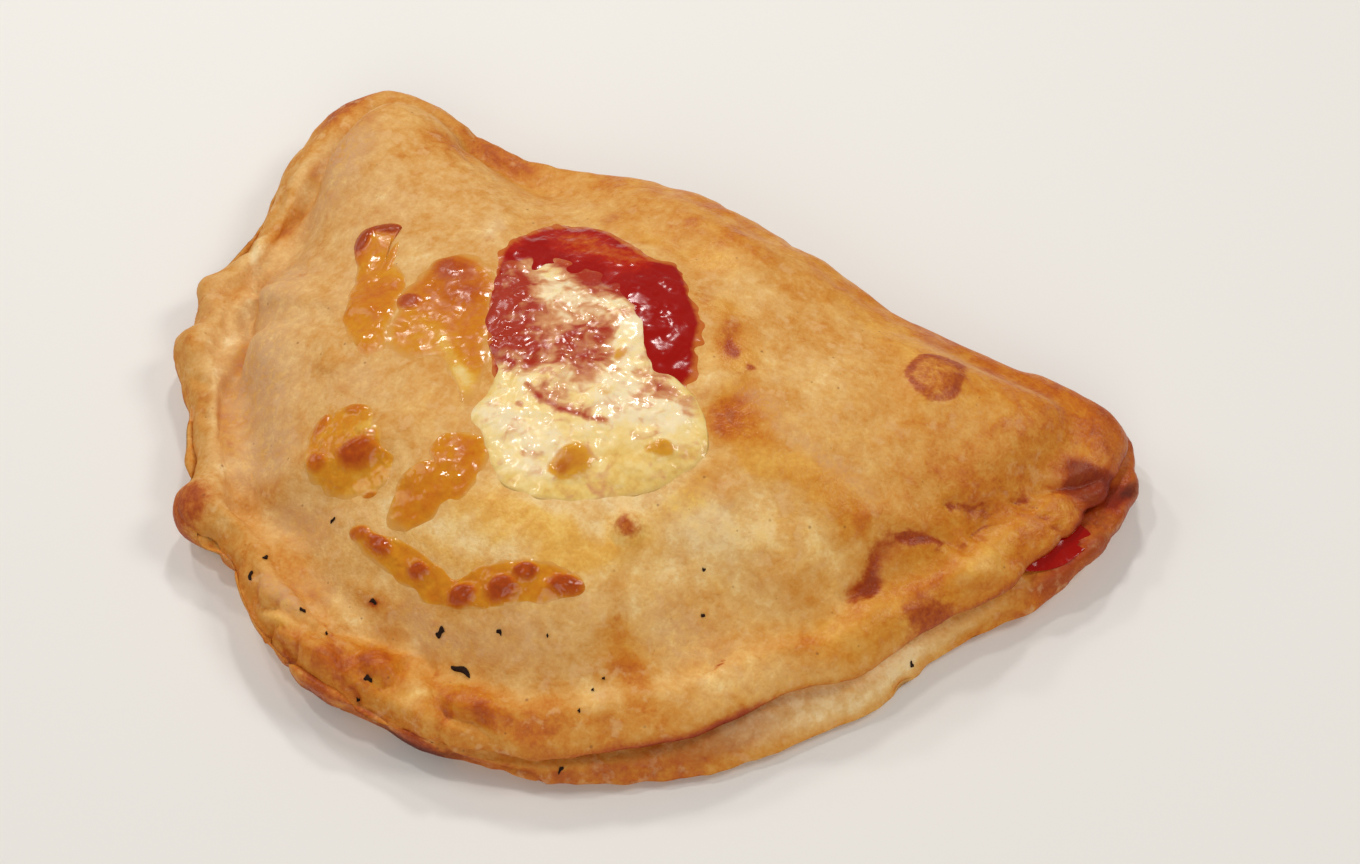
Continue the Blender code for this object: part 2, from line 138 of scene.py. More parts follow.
# Creases pressed into the dough: width, depth, then points of the line.
CREASES = (
    (1.9, 2.2, LEFT_CREASE),
    (2.0, 1.2, ((-62, -55), (-50, -61), (-40, -65), (-26, -69))),
    (1.5, 1.2, ((-114, 14), (-107, 10), (-103, 4))),
    (1.4, 1.0, ((-112, -4), (-104, -7), (-99, -12))),
    (1.2, 0.9, ((-106, -30), (-99, -28), (-92, -30))),
    (1.2, 0.8, ((-97, -42), (-90, -37), (-84, -38))),
    (1.0, 1.0, ((-48, -71.5), (-39, -74.5), (-29, -74.8), (-22, -74.3), (-16, -75.9), (-12.5, -78.5))),
    (0.9, 0.9, ((-11, -71), (-12.5, -75), (-9.5, -78), (-3, -79), (1, -76.5), (-1, -71.5))),
    (1.0, 1.5, ((8, -74.5), (11, -76.5), (17.5, -77.3), (22, -77), (27, -77.6))),
    (1.6, 1.2, ((5, -69.5), (-2, -68.5), (-12, -68), (-20, -71))),
    (1.0, 1.3, ((89, 23), (91, 25.5), (94, 27), (96.5, 30), (97, 28))),
    (0.9, 1.0, ((99.5, 27.5), (97.5, 26), (96.4, 23))),
    (0.9, 0.8, ((101.5, 36), (103.4, 38), (105.5, 38))),
    (1.6, 1.4, (
        (79, -8), (81.5, -4.5), (81.5, -1), (80.3, 3), (83, 9), (86.4, 12.2), (91, 15), (97, 19),
    )),
    (1.2, 1.4, ((104, 42), (108, 46), (112, 49), (116, 54))),
    (1.6, 1.2, ((-82, 78), (-78, 68), (-70, 60))),
    (0.9, 0.9, ((60, -40.5), (60, -37.5), (60.8, -34.5))),
)
# Where the dough is crumpled in small folds: x, y, radii, turn, amount.
CRUMPLED = (
    (-38, -76, 26, 9, -12, 1.0), (4, -79, 30, 7, 2, 1.0), (36, -72, 16, 8, 30, 0.6),
    (104, 34, 12, 18, -20, 0.8), (118, 44, 8, 16, -15, 1.0), (-104, -16, 10, 18, 10, 0.4),
    (-114, 20, 9, 16, 0, 0.3), (-78, -46, 12, 10, 0, 0.5),
)
# A level counts the knots of the dough's section: 0 is the middle of the base, 2 the edge of the flat
# base, 5 the lower leaf's edge, 7 the bottom of the seam, 8 the lip, 10 the rim's highest line, 11 the
# groove, 12 the shoulder and 14 the middle of the crown.
SECTION_RINGS = (3, 3, 3, 3, 3, 4, 4, 4, 4, 6, 10, 19, 42, 42)  # rings between one level and the next
CRUST_SEGMENTS = 640


def around(table, angles):
    """Values at the angles of a table of (angle, value), joined smoothly all the way round."""
    rows = np.array(sorted(table), dtype=float)
    a = np.concatenate([rows[-2:, 0] - 360, rows[:, 0], rows[:3, 0] + 360])
    v = np.concatenate([rows[-2:, 1], rows[:, 1], rows[:3, 1]])
    at = (np.asarray(angles, dtype=float) + 180) % 360 - 180
    at = np.where(at < a[2], at + 360, at)
    i = np.clip(np.searchsorted(a, at, side="right") - 1, 1, len(a) - 3)
    span = a[i + 1] - a[i]
    t = (at - a[i]) / span
    slope1 = (v[i + 1] - v[i - 1]) / (a[i + 1] - a[i - 1]) * span
    slope2 = (v[i + 2] - v[i]) / (a[i + 2] - a[i]) * span
    return hermite(t, v[i], v[i + 1], slope1, slope2)


def hermite(t, start, end, slope1, slope2):
    """The cubic curve from start to end that has these slopes there."""
    low, high = 2 * t**3 - 3 * t**2 + 1, 3 * t**2 - 2 * t**3
    return low * start + high * end + (t**3 - 2 * t**2 + t) * slope1 + (t**3 - t**2) * slope2


def along(knots, u):
    """Points at u on smooth curves through knots, an array of (curve, knot, coordinate)."""
    last = knots.shape[1] - 1
    i = np.clip(u.astype(int), 0, last - 1)
    rows = np.arange(len(knots))
    p1, p2 = knots[rows, i], knots[rows, i + 1]
    p0, p3 = knots[rows, np.maximum(i - 1, 0)], knots[rows, np.minimum(i + 2, last)]
    return hermite((u - i)[:, None], p1, p2, (p2 - p0) / 2, (p3 - p1) / 2)


def blend(value, start, end):
    """0 up to start and 1 from end on, with a smooth step between them."""
    t = np.clip((value - start) / (end - start), 0, 1)
    return t * t * (3 - 2 * t)


def spot(x, y, cx, cy, rx, ry, turn=0.0, power=1.5):
    """1 in the middle of a turned ellipse, falling softly to 0 outside it."""
    c, s = math.cos(math.radians(turn)), math.sin(math.radians(turn))
    u = (c * (x - cx) + s * (y - cy)) / rx
    v = (c * (y - cy) - s * (x - cx)) / ry
    return np.exp(-((u * u + v * v) ** power))


def near_line(x, y, line):
    """Distance in plan from a line through points."""
    best = np.full(np.shape(x), 1e9)
    for (x0, y0), (x1, y1) in zip(line, line[1:]):
        dx, dy = x1 - x0, y1 - y0
        t = np.clip(((x - x0) * dx + (y - y0) * dy) / (dx * dx + dy * dy), 0, 1)
        best = np.minimum(best, np.hypot(x - x0 - t * dx, y - y0 - t * dy))
    return best


def on_line(x, y, line, width):
    """1 on a line through points, falling softly to 0 beside it."""
    return np.exp(-((near_line(x, y, line) / width) ** 2))


class Grain:
    """Smooth noise in space between -1 and 1, the same on every run."""

    SIDE = 32

    def __init__(self, seed):
        self.cells = np.random.default_rng(seed).uniform(-1, 1, (self.SIDE,) * 3)

    def __call__(self, points, size):
        p = points / size
        i = np.floor(p).astype(int)
        f = p - i
        f = f * f * (3 - 2 * f)
        total = np.zeros(len(p))
        for corner in np.ndindex(2, 2, 2):
            weight = np.prod([f[:, k] if corner[k] else 1 - f[:, k] for k in range(3)], axis=0)
            j = (i + corner) % self.SIDE
            total += weight * self.cells[j[:, 0], j[:, 1], j[:, 2]]
        return total


GRAIN = Grain(11)
GRAIN_B = Grain(12)


def strayed(points, amount, size, along_x=GRAIN_B, along_y=GRAIN):
    """Points moved in plan by noise, so that what is laid on them gets an uneven outline."""
    step = np.stack([along_x(points, size), along_y(points, size), np.zeros(len(points))], axis=1)
    return points + amount * step


def dough_section(angles):
    """Knots of the dough's section at each angle, as (inward distance, height), from the middle of the
    base, round the edge and over the rim to the crown."""
    reach, edge, flange = around(OUTLINE, angles), around(EDGE, angles), around(FLANGE, angles)
    parted, lip, groove = around(PARTED, angles), around(LIP, angles), around(GROOVE, angles)
    outer = edge - around(DROOP, angles)
    top = edge + lip
    low = top - groove
    rise = CROWN - low
    zero = np.zeros_like(reach)
    rows = (
        (reach, zero),
        (reach * 0.5, zero),
        (zero + BASE_INSET, zero),
        (zero + 3.2, outer * 0.18),
        (0.8 - 0.8 * parted, outer * 0.6),
        (1.6 * parted, outer),
        (flange * 0.6 + 1.8 * parted, 0.4 * outer + 0.6 * edge + 0.4 + 1.6 * (1 - parted)),
        (flange + 0.2 + 5 * parted, edge + 0.3 + 3.7 * (1 - parted)),
        (flange + 1.2 - 0.4 * parted, edge + 0.4 * lip),
        (flange + 3.6, edge + 0.78 * lip),
        (flange + RIM_WIDTH, top),
        (flange + GROOVE_INSET, low),
        (flange + SHOULDER_INSET, low + 0.45 * rise),
        (0.62 * reach, low + 0.86 * rise),
        (reach, zero + CROWN),
    )
    return np.stack([np.stack(row, axis=1) for row in rows], axis=1)


def swell(x, y):
    """Height of the broad swells and hollows."""
    return sum(h * np.exp(-(((x - cx) / rx) ** 2 + ((y - cy) / ry) ** 2)) for cx, cy, rx, ry, h in SWELLS)


def relief(x, y):
    """Height that lumps and creases add to the upper leaf."""
    height = np.zeros_like(x)
    for cx, cy, rx, ry, turn, rise in LUMPS:
        height += rise * spot(x, y, cx, cy, rx, ry, turn, 2.0)
    for width, depth, line in CREASES:
        height -= depth * on_line(x, y, line, width)
    return height


# ---------------------------------------------------------------- colours laid on the dough

# How the dough is baked, over or under its usual tan, with some painted highlights: x, y, radii, turn,
# amount.
BAKED_AND_HIGHLIGHT_SPOTS = (
    (-8.5, -73.6, 4.5, 3, 0, 0.2), (-10, -77.6, 3.4, 2, 0, 0.16), (-1, -76.2, 4, 2.6, 0, 0.2),
    (20, -74.4, 4, 2, 0, 0.18), (26, -72.6, 4, 2, 0, 0.16), (-2.5, -67.4, 4, 1.6, 30, -0.16),
    (7.6, -77.2, 4, 1.5, 60, -0.26), (2.2, -80.2, 3, 1, 0, -0.1), (12, -73.6, 3, 1.2, 30, -0.1),
    (23, -76.4, 4, 1, 10, -0.16), (30.5, -76.8, 3, 1.2, 20, -0.16), (9.5, -83.2, 5, 1.6, 0, 0.2),
    (-32, -77, 4, 2, 0, -0.1), (-36, -81, 6, 2.4, -12, 0.14), (-34, -66, 4, 1.6, 0, 0.1),
    # Painted highlights in the rows below: the paler spots on the left rim from x -84 to -111, and (101,
    # 17) on the lip's bulge.
    (36, 9, 4, 6, 20, 0.22), (41, -6, 4, 5, 0, 0.16), (24, 32, 4, 6, 30, 0.2), (-111, 0, 3, 4, 0, -0.16),
    (-105, 12, 3, 5, 0, -0.1), (101, 17, 4, 6, 0, -0.14), (41, 11, 8, 9, 0, 0.16),
    (30, 34, 8, 7, 30, 0.1), (18, -34, 50, 17, 12, -0.17), (42, -12, 30, 13, 0, -0.17),
    (-20, -52, 20, 8, 0, -0.05), (-119, 66, 6, 12, 0, 0.4), (-105, 48, 6, 14, -10, 0.14),
    (-92, 66, 7, 9, 20, -0.08), (-72, 73, 15, 6, -5, 0.26), (-80, 60, 8, 7, 10, 0.16),
    (-75, 46, 6, 5, 0, 0.08), (-74, 32, 7, 4, 0, -0.06), (-110, 45, 3, 9, 0, -0.12),
    (-108, 14, 4, 6, 0, -0.16), (-112, 26, 5, 6, 0, 0.16), (-99, -13, 3.5, 6, -30, -0.18),
    (-105, -10, 3, 6, -10, -0.12), (-84, -37, 3, 8, 45, -0.16), (-106, -22, 5, 5, 0, 0.2),
    (-108, 0, 4, 4, 0, 0.14), (-94, -36, 4, 6, 45, 0.12), (-90, -27, 3, 6, 45, -0.14),
    (-72, -47, 7, 3, -35, -0.14), (-60, -17, 4, 3, 0, 0.13), (-78, -34, 4, 4, 0, 0.1),
    (-56, -50, 6, 3, -10, 0.14), (-40, -54, 5, 2.6, -10, 0.1), (-39, -61, 4, 2, 0, 0.08),
    (-88, -34, 3, 3, 0, 0.12), (-80, -52, 6, 3, -45, 0.12), (-60, -66, 9, 3, -25, -0.04),
    (-24, -80, 12, 3.4, -4, 0.12), (-37, -77, 6, 2.4, -8, -0.16), (-20, -68, 9, 3.5, 0, -0.14),
    (-2, -66, 5, 2.2, 0, -0.12), (-15, -62.5, 5, 2.4, 0, 0.2), (-7, -74, 5, 3.4, 20, 0.1),
    (-16, -78, 5, 2.5, 0, 0.12), (6, -80, 5, 2, 8, -0.08), (18, -73, 8, 3.6, 4, 0.14),
    (36, -67, 6, 5, 0, 0.2), (34, -73.5, 5, 3.0, 20, 0.2), (30, -71, 3, 3, 0, 0.12),
    (32, -61, 4, 4, 0, 0.1), (46, -63, 3, 3, 0, 0.12), (53, -56, 4, 3, 0, 0.12),
    # Painted highlights in the rows below: (41, -58), (64, -40), and (98, 12) and (103, 20) on the lip's
    # bulge.
    (59, -56, 6, 3, 40, 0.14), (41, -72, 9, 2.0, 28, 0.14), (41, -58, 7, 4, 0, -0.13),
    (64, -40, 6, 3, 35, -0.16), (24, -67, 4, 3, 0, -0.06), (40, -47, 7, 5, 0, 0.12),
    (52, -28, 9, 6, 0, 0.08), (64, -20, 8, 7, 0, 0.06), (60, 0, 8, 5, 0, -0.08),
    (45, -13, 8, 5, 0, -0.08), (70, -4, 8, 4, 0, -0.1), (69, -14, 7, 5, 0, 0.22),
    (77, -25, 4, 3.6, 0, 0.2), (84, -13, 5, 6, 30, 0.14), (91, -12, 5, 6, 30, 0.12),
    (46, -7, 4, 4, 0, 0.16), (72, 4, 4.5, 4, 0, 0.18), (95, 0, 6, 6, 0, 0.16), (98, 12, 5, 4, 0, -0.12),
    (103, 20, 4, 4, 0, -0.14), (91, 30, 9, 5, 0, 0.14), (108, 66, 7, 8, 0, 0.1),
    (88, 48, 2, 8, -15, -0.08), (80, 33, 8, 5, 0, 0.06), (55, 46, 5, 10, 10, 0.06),
    (38, 48, 4, 9, 0, 0.05), (18, 63, 5, 4, 0, 0.14), (27, 56, 4, 3, 0, 0.1), (36, 68, 9, 4, -20, 0.1),
    (8, 67, 4.5, 5, 0, 0.16), (-3, 64, 3, 4.5, 0, 0.14), (-5, 75, 6, 3, 0, 0.1), (-36, 74, 7, 4, 0, 0.08),
    (-28, 64, 8, 4, 0, 0.05), (20, 50, 9, 6, 0, -0.1), (48, 34, 12, 10, 0, -0.08),
    (36, 20, 3, 6, 20, 0.1), (31, 17, 4.2, 4.5, 0, -0.16), (50, 16, 12, 3, -15, -0.06),
    (66, 22, 13, 6, 0, -0.06), (-60, 21, 6, 6, 0, -0.1), (-47, 36, 5, 6, 0, -0.14),
    (-84, 48, 2, 2, 0, 0.12), (-90, 7, 1.2, 1.2, 0, 0.3), (-30, -20, 12, 6, 0, -0.06),
    (-54, -16, 10, 5, 0, -0.04), (4, -41, 12, 4, 0, -0.08), (-6, -46, 9, 3, 0, -0.06),
    (60, -8, 6, 3, -20, -0.05), (12, 33, 3, 3, 0, 0.1), (66, 70, 24, 6, -12, 0.16),
)
# Lines of darker or paler dough, with painted shade in creases and a painted highlight: width, amount,
# points.
BAKE_AND_PAINTED_LIGHT_LINES = (
    (2.2, 0.15, ((35, -38), (36, -42), (39, -47), (44, -50), (50, -50.5))),
    # Painted shade along the left crease.
    (1.5, 0.2, LEFT_CREASE),
    # Painted highlight on the rim beside the left crease.
    (1.8, -0.16, ((-114, 44), (-112, 27), (-108, 12), (-103, 0), (-98.5, -11), (-96, -21), (-91, -31))),
    # This line and the next three are painted shade along the front rim's creases.
    (0.8, 0.16, ((8, -74.5), (11, -76.5), (17.5, -77.3), (22, -77), (27, -77.6))),
    (0.7, 0.12, ((-22, -74.3), (-16, -75.9), (-12.5, -78.5))),
    (0.7, 0.12, ((-3, -79), (1, -76.5), (-1, -71.5))),
    (1.0, 0.12, ((-48, -71.5), (-39, -74.5), (-29, -74.8))),
    (2.0, -0.12, ((-60, -68), (-46, -75), (-36, -78), (-28, -78))),
    (1.2, -0.14, ((84, -20), (90, -10), (95, 2), (99, 9), (104, 17))),
)
# Brown spots with an edge of their own, and one painted shade: x, y, radii, turn, depth of the brown.
BROWNED = (
    (-73, -60, 7.5, 7.5, 0, 0.9), (30.5, -25.5, 3.5, 3.3, 0, 0.8), (72, 4, 3.6, 3.2, 0, 0.36),
    (28, 28.7, 2.2, 2.6, 30, 1.0), (33.5, 25.5, 1.9, 1.9, 0, 0.85), (25.5, 31, 1.4, 2.2, 20, 0.65),
    (22, 34, 1.2, 1.6, 0, 0.5), (32, 22, 1.2, 1.4, 0, 0.5), (13, 42, 5, 2.2, -40, 0.4),
    # The first spot below is the slit of the dimple at (60, -37.5): painted shade.
    (60.2, -37.5, 0.8, 2.4, -10, 0.8), (-16, -63, 1.3, 0.9, 20, 0.7), (2.5, 66.5, 2.2, 2.2, 0, 0.45),
    (8, 68, 3, 3.4, 0, 0.5), (-3, 64, 2.4, 3.4, 0, 0.45), (5, 60, 3, 2, 0, 0.4),
    (103, 38, 2.6, 1.9, 0, 0.7), (106, 45, 4, 2.4, 40, 0.45), (112, 50, 7, 4, 30, 0.4),
    (117, 58, 6, 6, 0, 0.5), (121, 44, 2.2, 4.5, 0, 0.8), (122.5, 51, 2.4, 5, 0, 0.9),
    (113, 66, 5, 4, 0, 0.5), (120, 68, 3, 6, 0, 0.7), (100, 47, 3, 2, 0, 0.3), (92, 31, 4, 2, 0, 0.35),
    (-60, -17, 2.4, 2, 0, 0.3), (-69, 76, 10, 2.4, -8, 0.5), (-121, 62, 2.4, 9, 5, 0.45),
    (-114, -8, 3.4, 5, 0, 0.5), (-112, -22, 3.6, 6, 20, 0.5), (-116, 20, 3, 4, 0, 0.4),
    (-37.5, -72.2, 6, 1.6, -6, 0.34), (-18, -84.6, 8, 1.8, -8, 0.9), (-2, -85.4, 9, 1.6, 0, 0.9),
    (12, -85, 7, 1.6, 4, 0.9), (10, -83, 5, 1.4, 0, 0.6), (31.8, -73, 2.2, 1.4, 30, 0.5),
    (-12.4, -67, 3, 1.2, 20, 0.3), (-22.6, -62.8, 3, 1.2, 0, 0.3), (28, -82, 8, 1.6, 12, 0.6),
    (-30, -82.6, 6, 1.4, -8, 0.6), (6, -85, 7, 3, 0, 0.5), (-48, -79, 8, 1.6, -20, 0.4),
    (37, -67.5, 4, 3, 0, 0.3), (46.5, -63, 1.6, 1.2, 0, 0.5), (54, -57, 3, 1.4, 40, 0.4),
    (-16, -62.6, 3.4, 2.2, 0, 0.5), (-45, 32, 3, 2, 0, 0.3), (35, 14, 1.8, 3, 20, 0.35),
    (42, 8, 2.4, 1.6, 0, 0.4), (38, 12, 2, 1.4, 30, 0.35), (48, 5, 3, 1.4, -15, 0.35),
    (56, 8, 3, 1.6, -10, 0.3), (64, 8, 2.4, 2, 0, 0.35), (45, -51, 3, 1, 0, 0.4),
    (37, -42, 1.2, 3, 10, 0.35),
)
# The round blister near the tip, brown all over and browner in a ring: x, y, radii.
BLISTER = (72.5, 50, 7.4, 9.6)
# Brown lines: width, depth of the brown, points.
BROWN_LINES = (
    (4.4, 0.95, ((93.6, -2.8), (95.6, -0.6), (97.6, 1.6))),
    (2.4, 0.7, ((79.4, -8), (81.6, -4.5), (82, -1.5))),
    (2.0, 0.75, ((81.5, -3), (80.4, 1.4), (80.6, 5), (83, 8.7), (85.4, 11.2))),
    (1.3, 0.75, ((84, 9), (87, 12.6), (90.5, 14.5), (91.5, 13))),
    (0.9, 0.6, ((88, 13.4), (92, 16), (97, 19))),
    (0.7, 0.4, ((-27, -71.7), (-22, -73.1), (-16.7, -76.6), (-12.3, -79.2), (-7.9, -80.2))),
    (0.8, 0.9, ((89.5, 23.4), (91.1, 25.5), (93.5, 27.1), (95.3, 29.9), (96.6, 30.1), (96.2, 28.4))),
    (0.7, 0.7, ((99.5, 27.5), (97.5, 26.2), (96.4, 23.2))),
    (0.9, 0.7, ((101.7, 36.0), (103.4, 38.1), (105.5, 38))),
    (0.7, 0.5, ((-16, -76), (-9, -79.5), (-3, -80))),
)
# Burnt places: x, y, radii, turn, amount.
BURNT = (
    (118, 57, 6, 4.4, 30, 0.4), (112, 51.6, 5, 2.6, 30, 0.34), (123, 60, 2.4, 4.0, 0, 0.62),
    (123.5, 67, 1.6, 4, 0, 0.4), (123, 44, 1.6, 4, 0, 0.36),
)
# Where flour leaves the dough dull and pinkish.
FLOURED = (
    (-100, 36, 8, 14, 0, 0.7), (-104, 50, 8, 9, -20, 0.7), (-95, 5, 10, 12, 0, 0.8),
    (-86, -14, 12, 12, 0, 0.7), (-76, -28, 14, 10, 0, 0.9), (-64, -42, 12, 8, 0, 0.8),
    (-44, -54, 10, 5, 0, 0.6), (2, -63, 13, 4, 0, 0.6), (20, -57, 10, 6, 0, 0.4),
    (-37, -71.5, 9, 2.4, -8, 0.9), (-30, -65, 9, 3, 0, 0.4), (-20, -83, 9, 1.6, -6, 0.5),
    (42, 17, 7, 3, -15, 0.6), (-47, 36, 4, 5, 0, 0.5), (62, 13, 12, 2.5, -8, 0.5),
    (50, -36, 9, 6, 0, 0.4), (-112, -14, 6, 14, 0, 0.4), (70, -38, 12, 5, 40, 0.2),
    (-80, 30, 12, 12, 0, 0.3), (-70, 5, 8, 12, 0, 0.3), (-50, -20, 10, 6, 0, 0.35),
    (40, -14, 14, 8, 0, 0.35),
)
# Where oil and thin cheese make it golden and shiny.
OILED = (
    (42, 10, 9, 9, 0, 0.4), (12, -38, 26, 5, 8, 0.5), (10, 76, 46, 8, -4, 0.6), (60, 60, 26, 8, -25, 0.5),
    (-60, 60, 16, 10, 0, 0.3), (-8, -76, 10, 4, 0, 0.6), (18, -74, 9, 4, 0, 0.5), (-1, -82, 6, 3, 0, 0.3),
    (95, 0, 8, 7, 0, 0.6), (38, 11, 5, 4, 20, 0.9), (48, 5, 8, 4, -10, 0.9), (60, 7.5, 9, 4.0, 0, 0.9),
    (70, 5, 6, 4.5, 0, 0.7), (36, 16, 3.4, 7, 15, 0.8), (29, 28, 6, 7, 0, 0.8), (20, 40, 7, 5, 0, 0.6),
    (6, 53, 9, 5, 0, 0.7), (-10, 55, 8, 4, 0, 0.6), (-24, 57, 8, 4, 0, 0.4), (-42, 44, 4, 7, 0, 0.4),
    (10, -35, 22, 3.6, 6, 0.7), (32, -27, 7, 5, 0, 0.7), (38, -12, 3, 10, -14, 0.7),
    (94, 14, 9, 14, -20, 0.5), (103, 28, 6, 8, 0, 0.6), (110, 38, 5, 8, 0, 0.6),
    (84, -14, 6, 12, -25, 0.6), (-8, -73, 8, 5, 10, 0.5), (16, -73, 10, 4, 0, 0.4),
    (72.5, 50, 8, 10, 0, 0.4), (-2, -50, 12, 3, 0, 0.5), (22, -38, 8, 3, 30, 0.6), (-66, 4, 4, 8, 0, 0.3),
    (8, 66, 10, 9, 0, 0.4), (-21, -13, 4, 5, 0, 0.6), (-25, -22, 5, 6, 30, 0.3), (95, -3, 6, 6, 0, 0.5),
    (-30, -79, 16, 3, -6, 0.6), (2, -80, 16, 3, 2, 0.5), (40, -46, 6, 4, 0, 0.6),
    (-60, -70, 8, 4, -25, 0.4), (66, 70, 26, 7, -12, 0.6),
)
# Where tomato stains it.
STAINED = (
    (112, 51, 9, 4.6, 30, 0.75), (118, 55, 7, 6, 0, 0.7), (121, 59, 4, 5, 0, 0.4),
    (82, 6, 2, 4, -20, 0.4), (85.4, 11, 3, 2, 40, 0.45), (90, 14, 3, 1.4, 20, 0.35),
    (79.5, -7, 2.4, 4, 20, 0.5), (81, 0, 1.8, 5, 5, 0.35), (118, 52, 4, 5, 0, 0.6),
    (112, 50, 4, 2.4, 30, 0.4), (117, 34, 2.2, 6, -20, 0.5), (118, 42, 2.4, 6, 0, 0.6),
    (103, 38, 2.6, 2.0, 0, 0.3), (-40, 47, 3, 7, 20, 0.3), (-26, 57, 5, 2.4, 0, 0.4),
    (-6, 52, 6, 2.4, 0, 0.3), (14, 43, 6, 2.4, -40, 0.35), (27, 29, 3, 4, 0, 0.45),
    (29, 12, 2, 5, 0, 0.3), (-40, 30, 2, 6, 0, 0.25),
)


RIM_BAKE = (  # how much more the rim is baked, by angle
    (-180, 0.14), (-150, 0.12), (-120, 0.2), (-95, 0.26), (-60, 0.16), (-30, 0.04), (0, 0.04), (25, 0.2),
    (50, 0.12), (90, 0.08), (130, 0.12), (160, 0.14),
)
EDGE_BURNT = (  # how far the lower edge is burnt
    (-180, 0), (-112, 0), (-102, 0.62), (-97, 0.4), (-92, 0.4), (-87, 0.9), (-81, 0.85), (-74, 0.3),
    (-66, 0.2), (-56, 0), (60, 0), (140, 0),
)
SIDE_BAKE = (  # how much more the side under the seam is baked
    (-180, 0.3), (-150, 0.26), (-120, 0.14), (-95, 0.3), (-60, 0.24), (-40, 0.22), (-28, 0.1),
    (-15, -0.04), (5, 0), (20, 0.3), (50, 0.2), (90, 0.12), (130, 0.16), (160, 0.24),
)
PALE_FLANGE = (  # how pale the lower leaf is where it reaches out
    (-180, 0), (-60, 0), (-42, 0.1), (-28, 0.8), (-8, 1), (4, 0.8), (12, 0.1), (20, -0.4), (30, -0.6),
    (50, 0), (120, 0),
)
RED_SEAM = (  # how far tomato has run along the seam
    (-180, 0), (-75, 0), (-60, 0.4), (-45, 0.9), (-32, 1), (-22, 0.4), (-12, 0), (4, 0), (12, 0.4),
    (18, 0.6), (26, 0.5), (36, 0), (90, 0), (140, 0),
)


def laid(x, y, rows):
    """The sum of soft spots, each given as x, y, radii, turn, amount."""
    return sum(row[5] * spot(x, y, *row[:5]) for row in rows)


# ---------------------------------------------------------------- tools for modelling

def deselect_all():
    if bpy.context.object and bpy.context.object.mode != "OBJECT":
        bpy.ops.object.mode_set(mode="OBJECT")
    bpy.ops.object.select_all(action="DESELECT")


def add_ball(name, segments, rings):
    """A ball of points in rows, as (object, angles, rings); rings are counted from the lower pole."""
    deselect_all()
    bpy.ops.mesh.primitive_uv_sphere_add(segments=segments // 2, ring_count=rings // 2, radius=1)
    obj = bpy.context.object
    obj.name = obj.data.name = name
    bpy.ops.object.mode_set(mode="EDIT")
    bpy.ops.mesh.select_all(action="SELECT")
    bpy.ops.mesh.subdivide(number_cuts=1)
    bpy.ops.object.mode_set(mode="OBJECT")
    co = points_of(obj)
    height = np.clip(co[:, 2] / np.linalg.norm(co, axis=1), -1, 1)
    ring = rings - np.rint(np.arccos(height) / math.pi * rings).astype(int)
    angle = np.round(np.degrees(np.arctan2(co[:, 1], co[:, 0])), 4)
    angle[(ring == 0) | (ring == rings)] = 0
    return obj, angle, ring


def points_of(obj):
    co = np.empty(len(obj.data.vertices) * 3)
    obj.data.vertices.foreach_get("co", co)
    return co.reshape(-1, 3)


def normals_of(obj):
    normal = np.empty(len(obj.data.vertices) * 3)
    obj.data.vertices.foreach_get("normal", normal)
    return normal.reshape(-1, 3)


def set_points(obj, co):
    obj.data.vertices.foreach_set("co", np.asarray(co, dtype=float).ravel())
    obj.data.update()


def store(obj, name, values):
    """Keep a number for every vertex, for the material to read."""
    field = obj.data.attributes.new(name, "FLOAT", "POINT")
    field.data.foreach_set("value", np.asarray(values, dtype=float))


def finish_piece(obj, look, node=None):
    """Give a piece its look and smooth shading, tie it to the body, and hide the packed part of its node.
    """
    deselect_all()
    obj.select_set(True)
    bpy.context.view_layer.objects.active = obj
    bpy.ops.object.shade_smooth()
    obj.data.materials.clear()
    obj.data.materials.append(look)
    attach(obj, BODY)
    if node:
        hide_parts(node)


def lay_on(obj, target):
    """Drop every vertex straight down on the target."""
    deselect_all()
    bpy.context.view_layer.objects.active = obj
    obj.select_set(True)
    wrap = obj.modifiers.new("drop", "SHRINKWRAP")
    wrap.target = target
    wrap.wrap_method = "PROJECT"
    wrap.use_project_z = True
    wrap.use_negative_direction = True
    wrap.use_positive_direction = False
    bpy.ops.object.modifier_apply(modifier=wrap.name)


# ---------------------------------------------------------------- materials

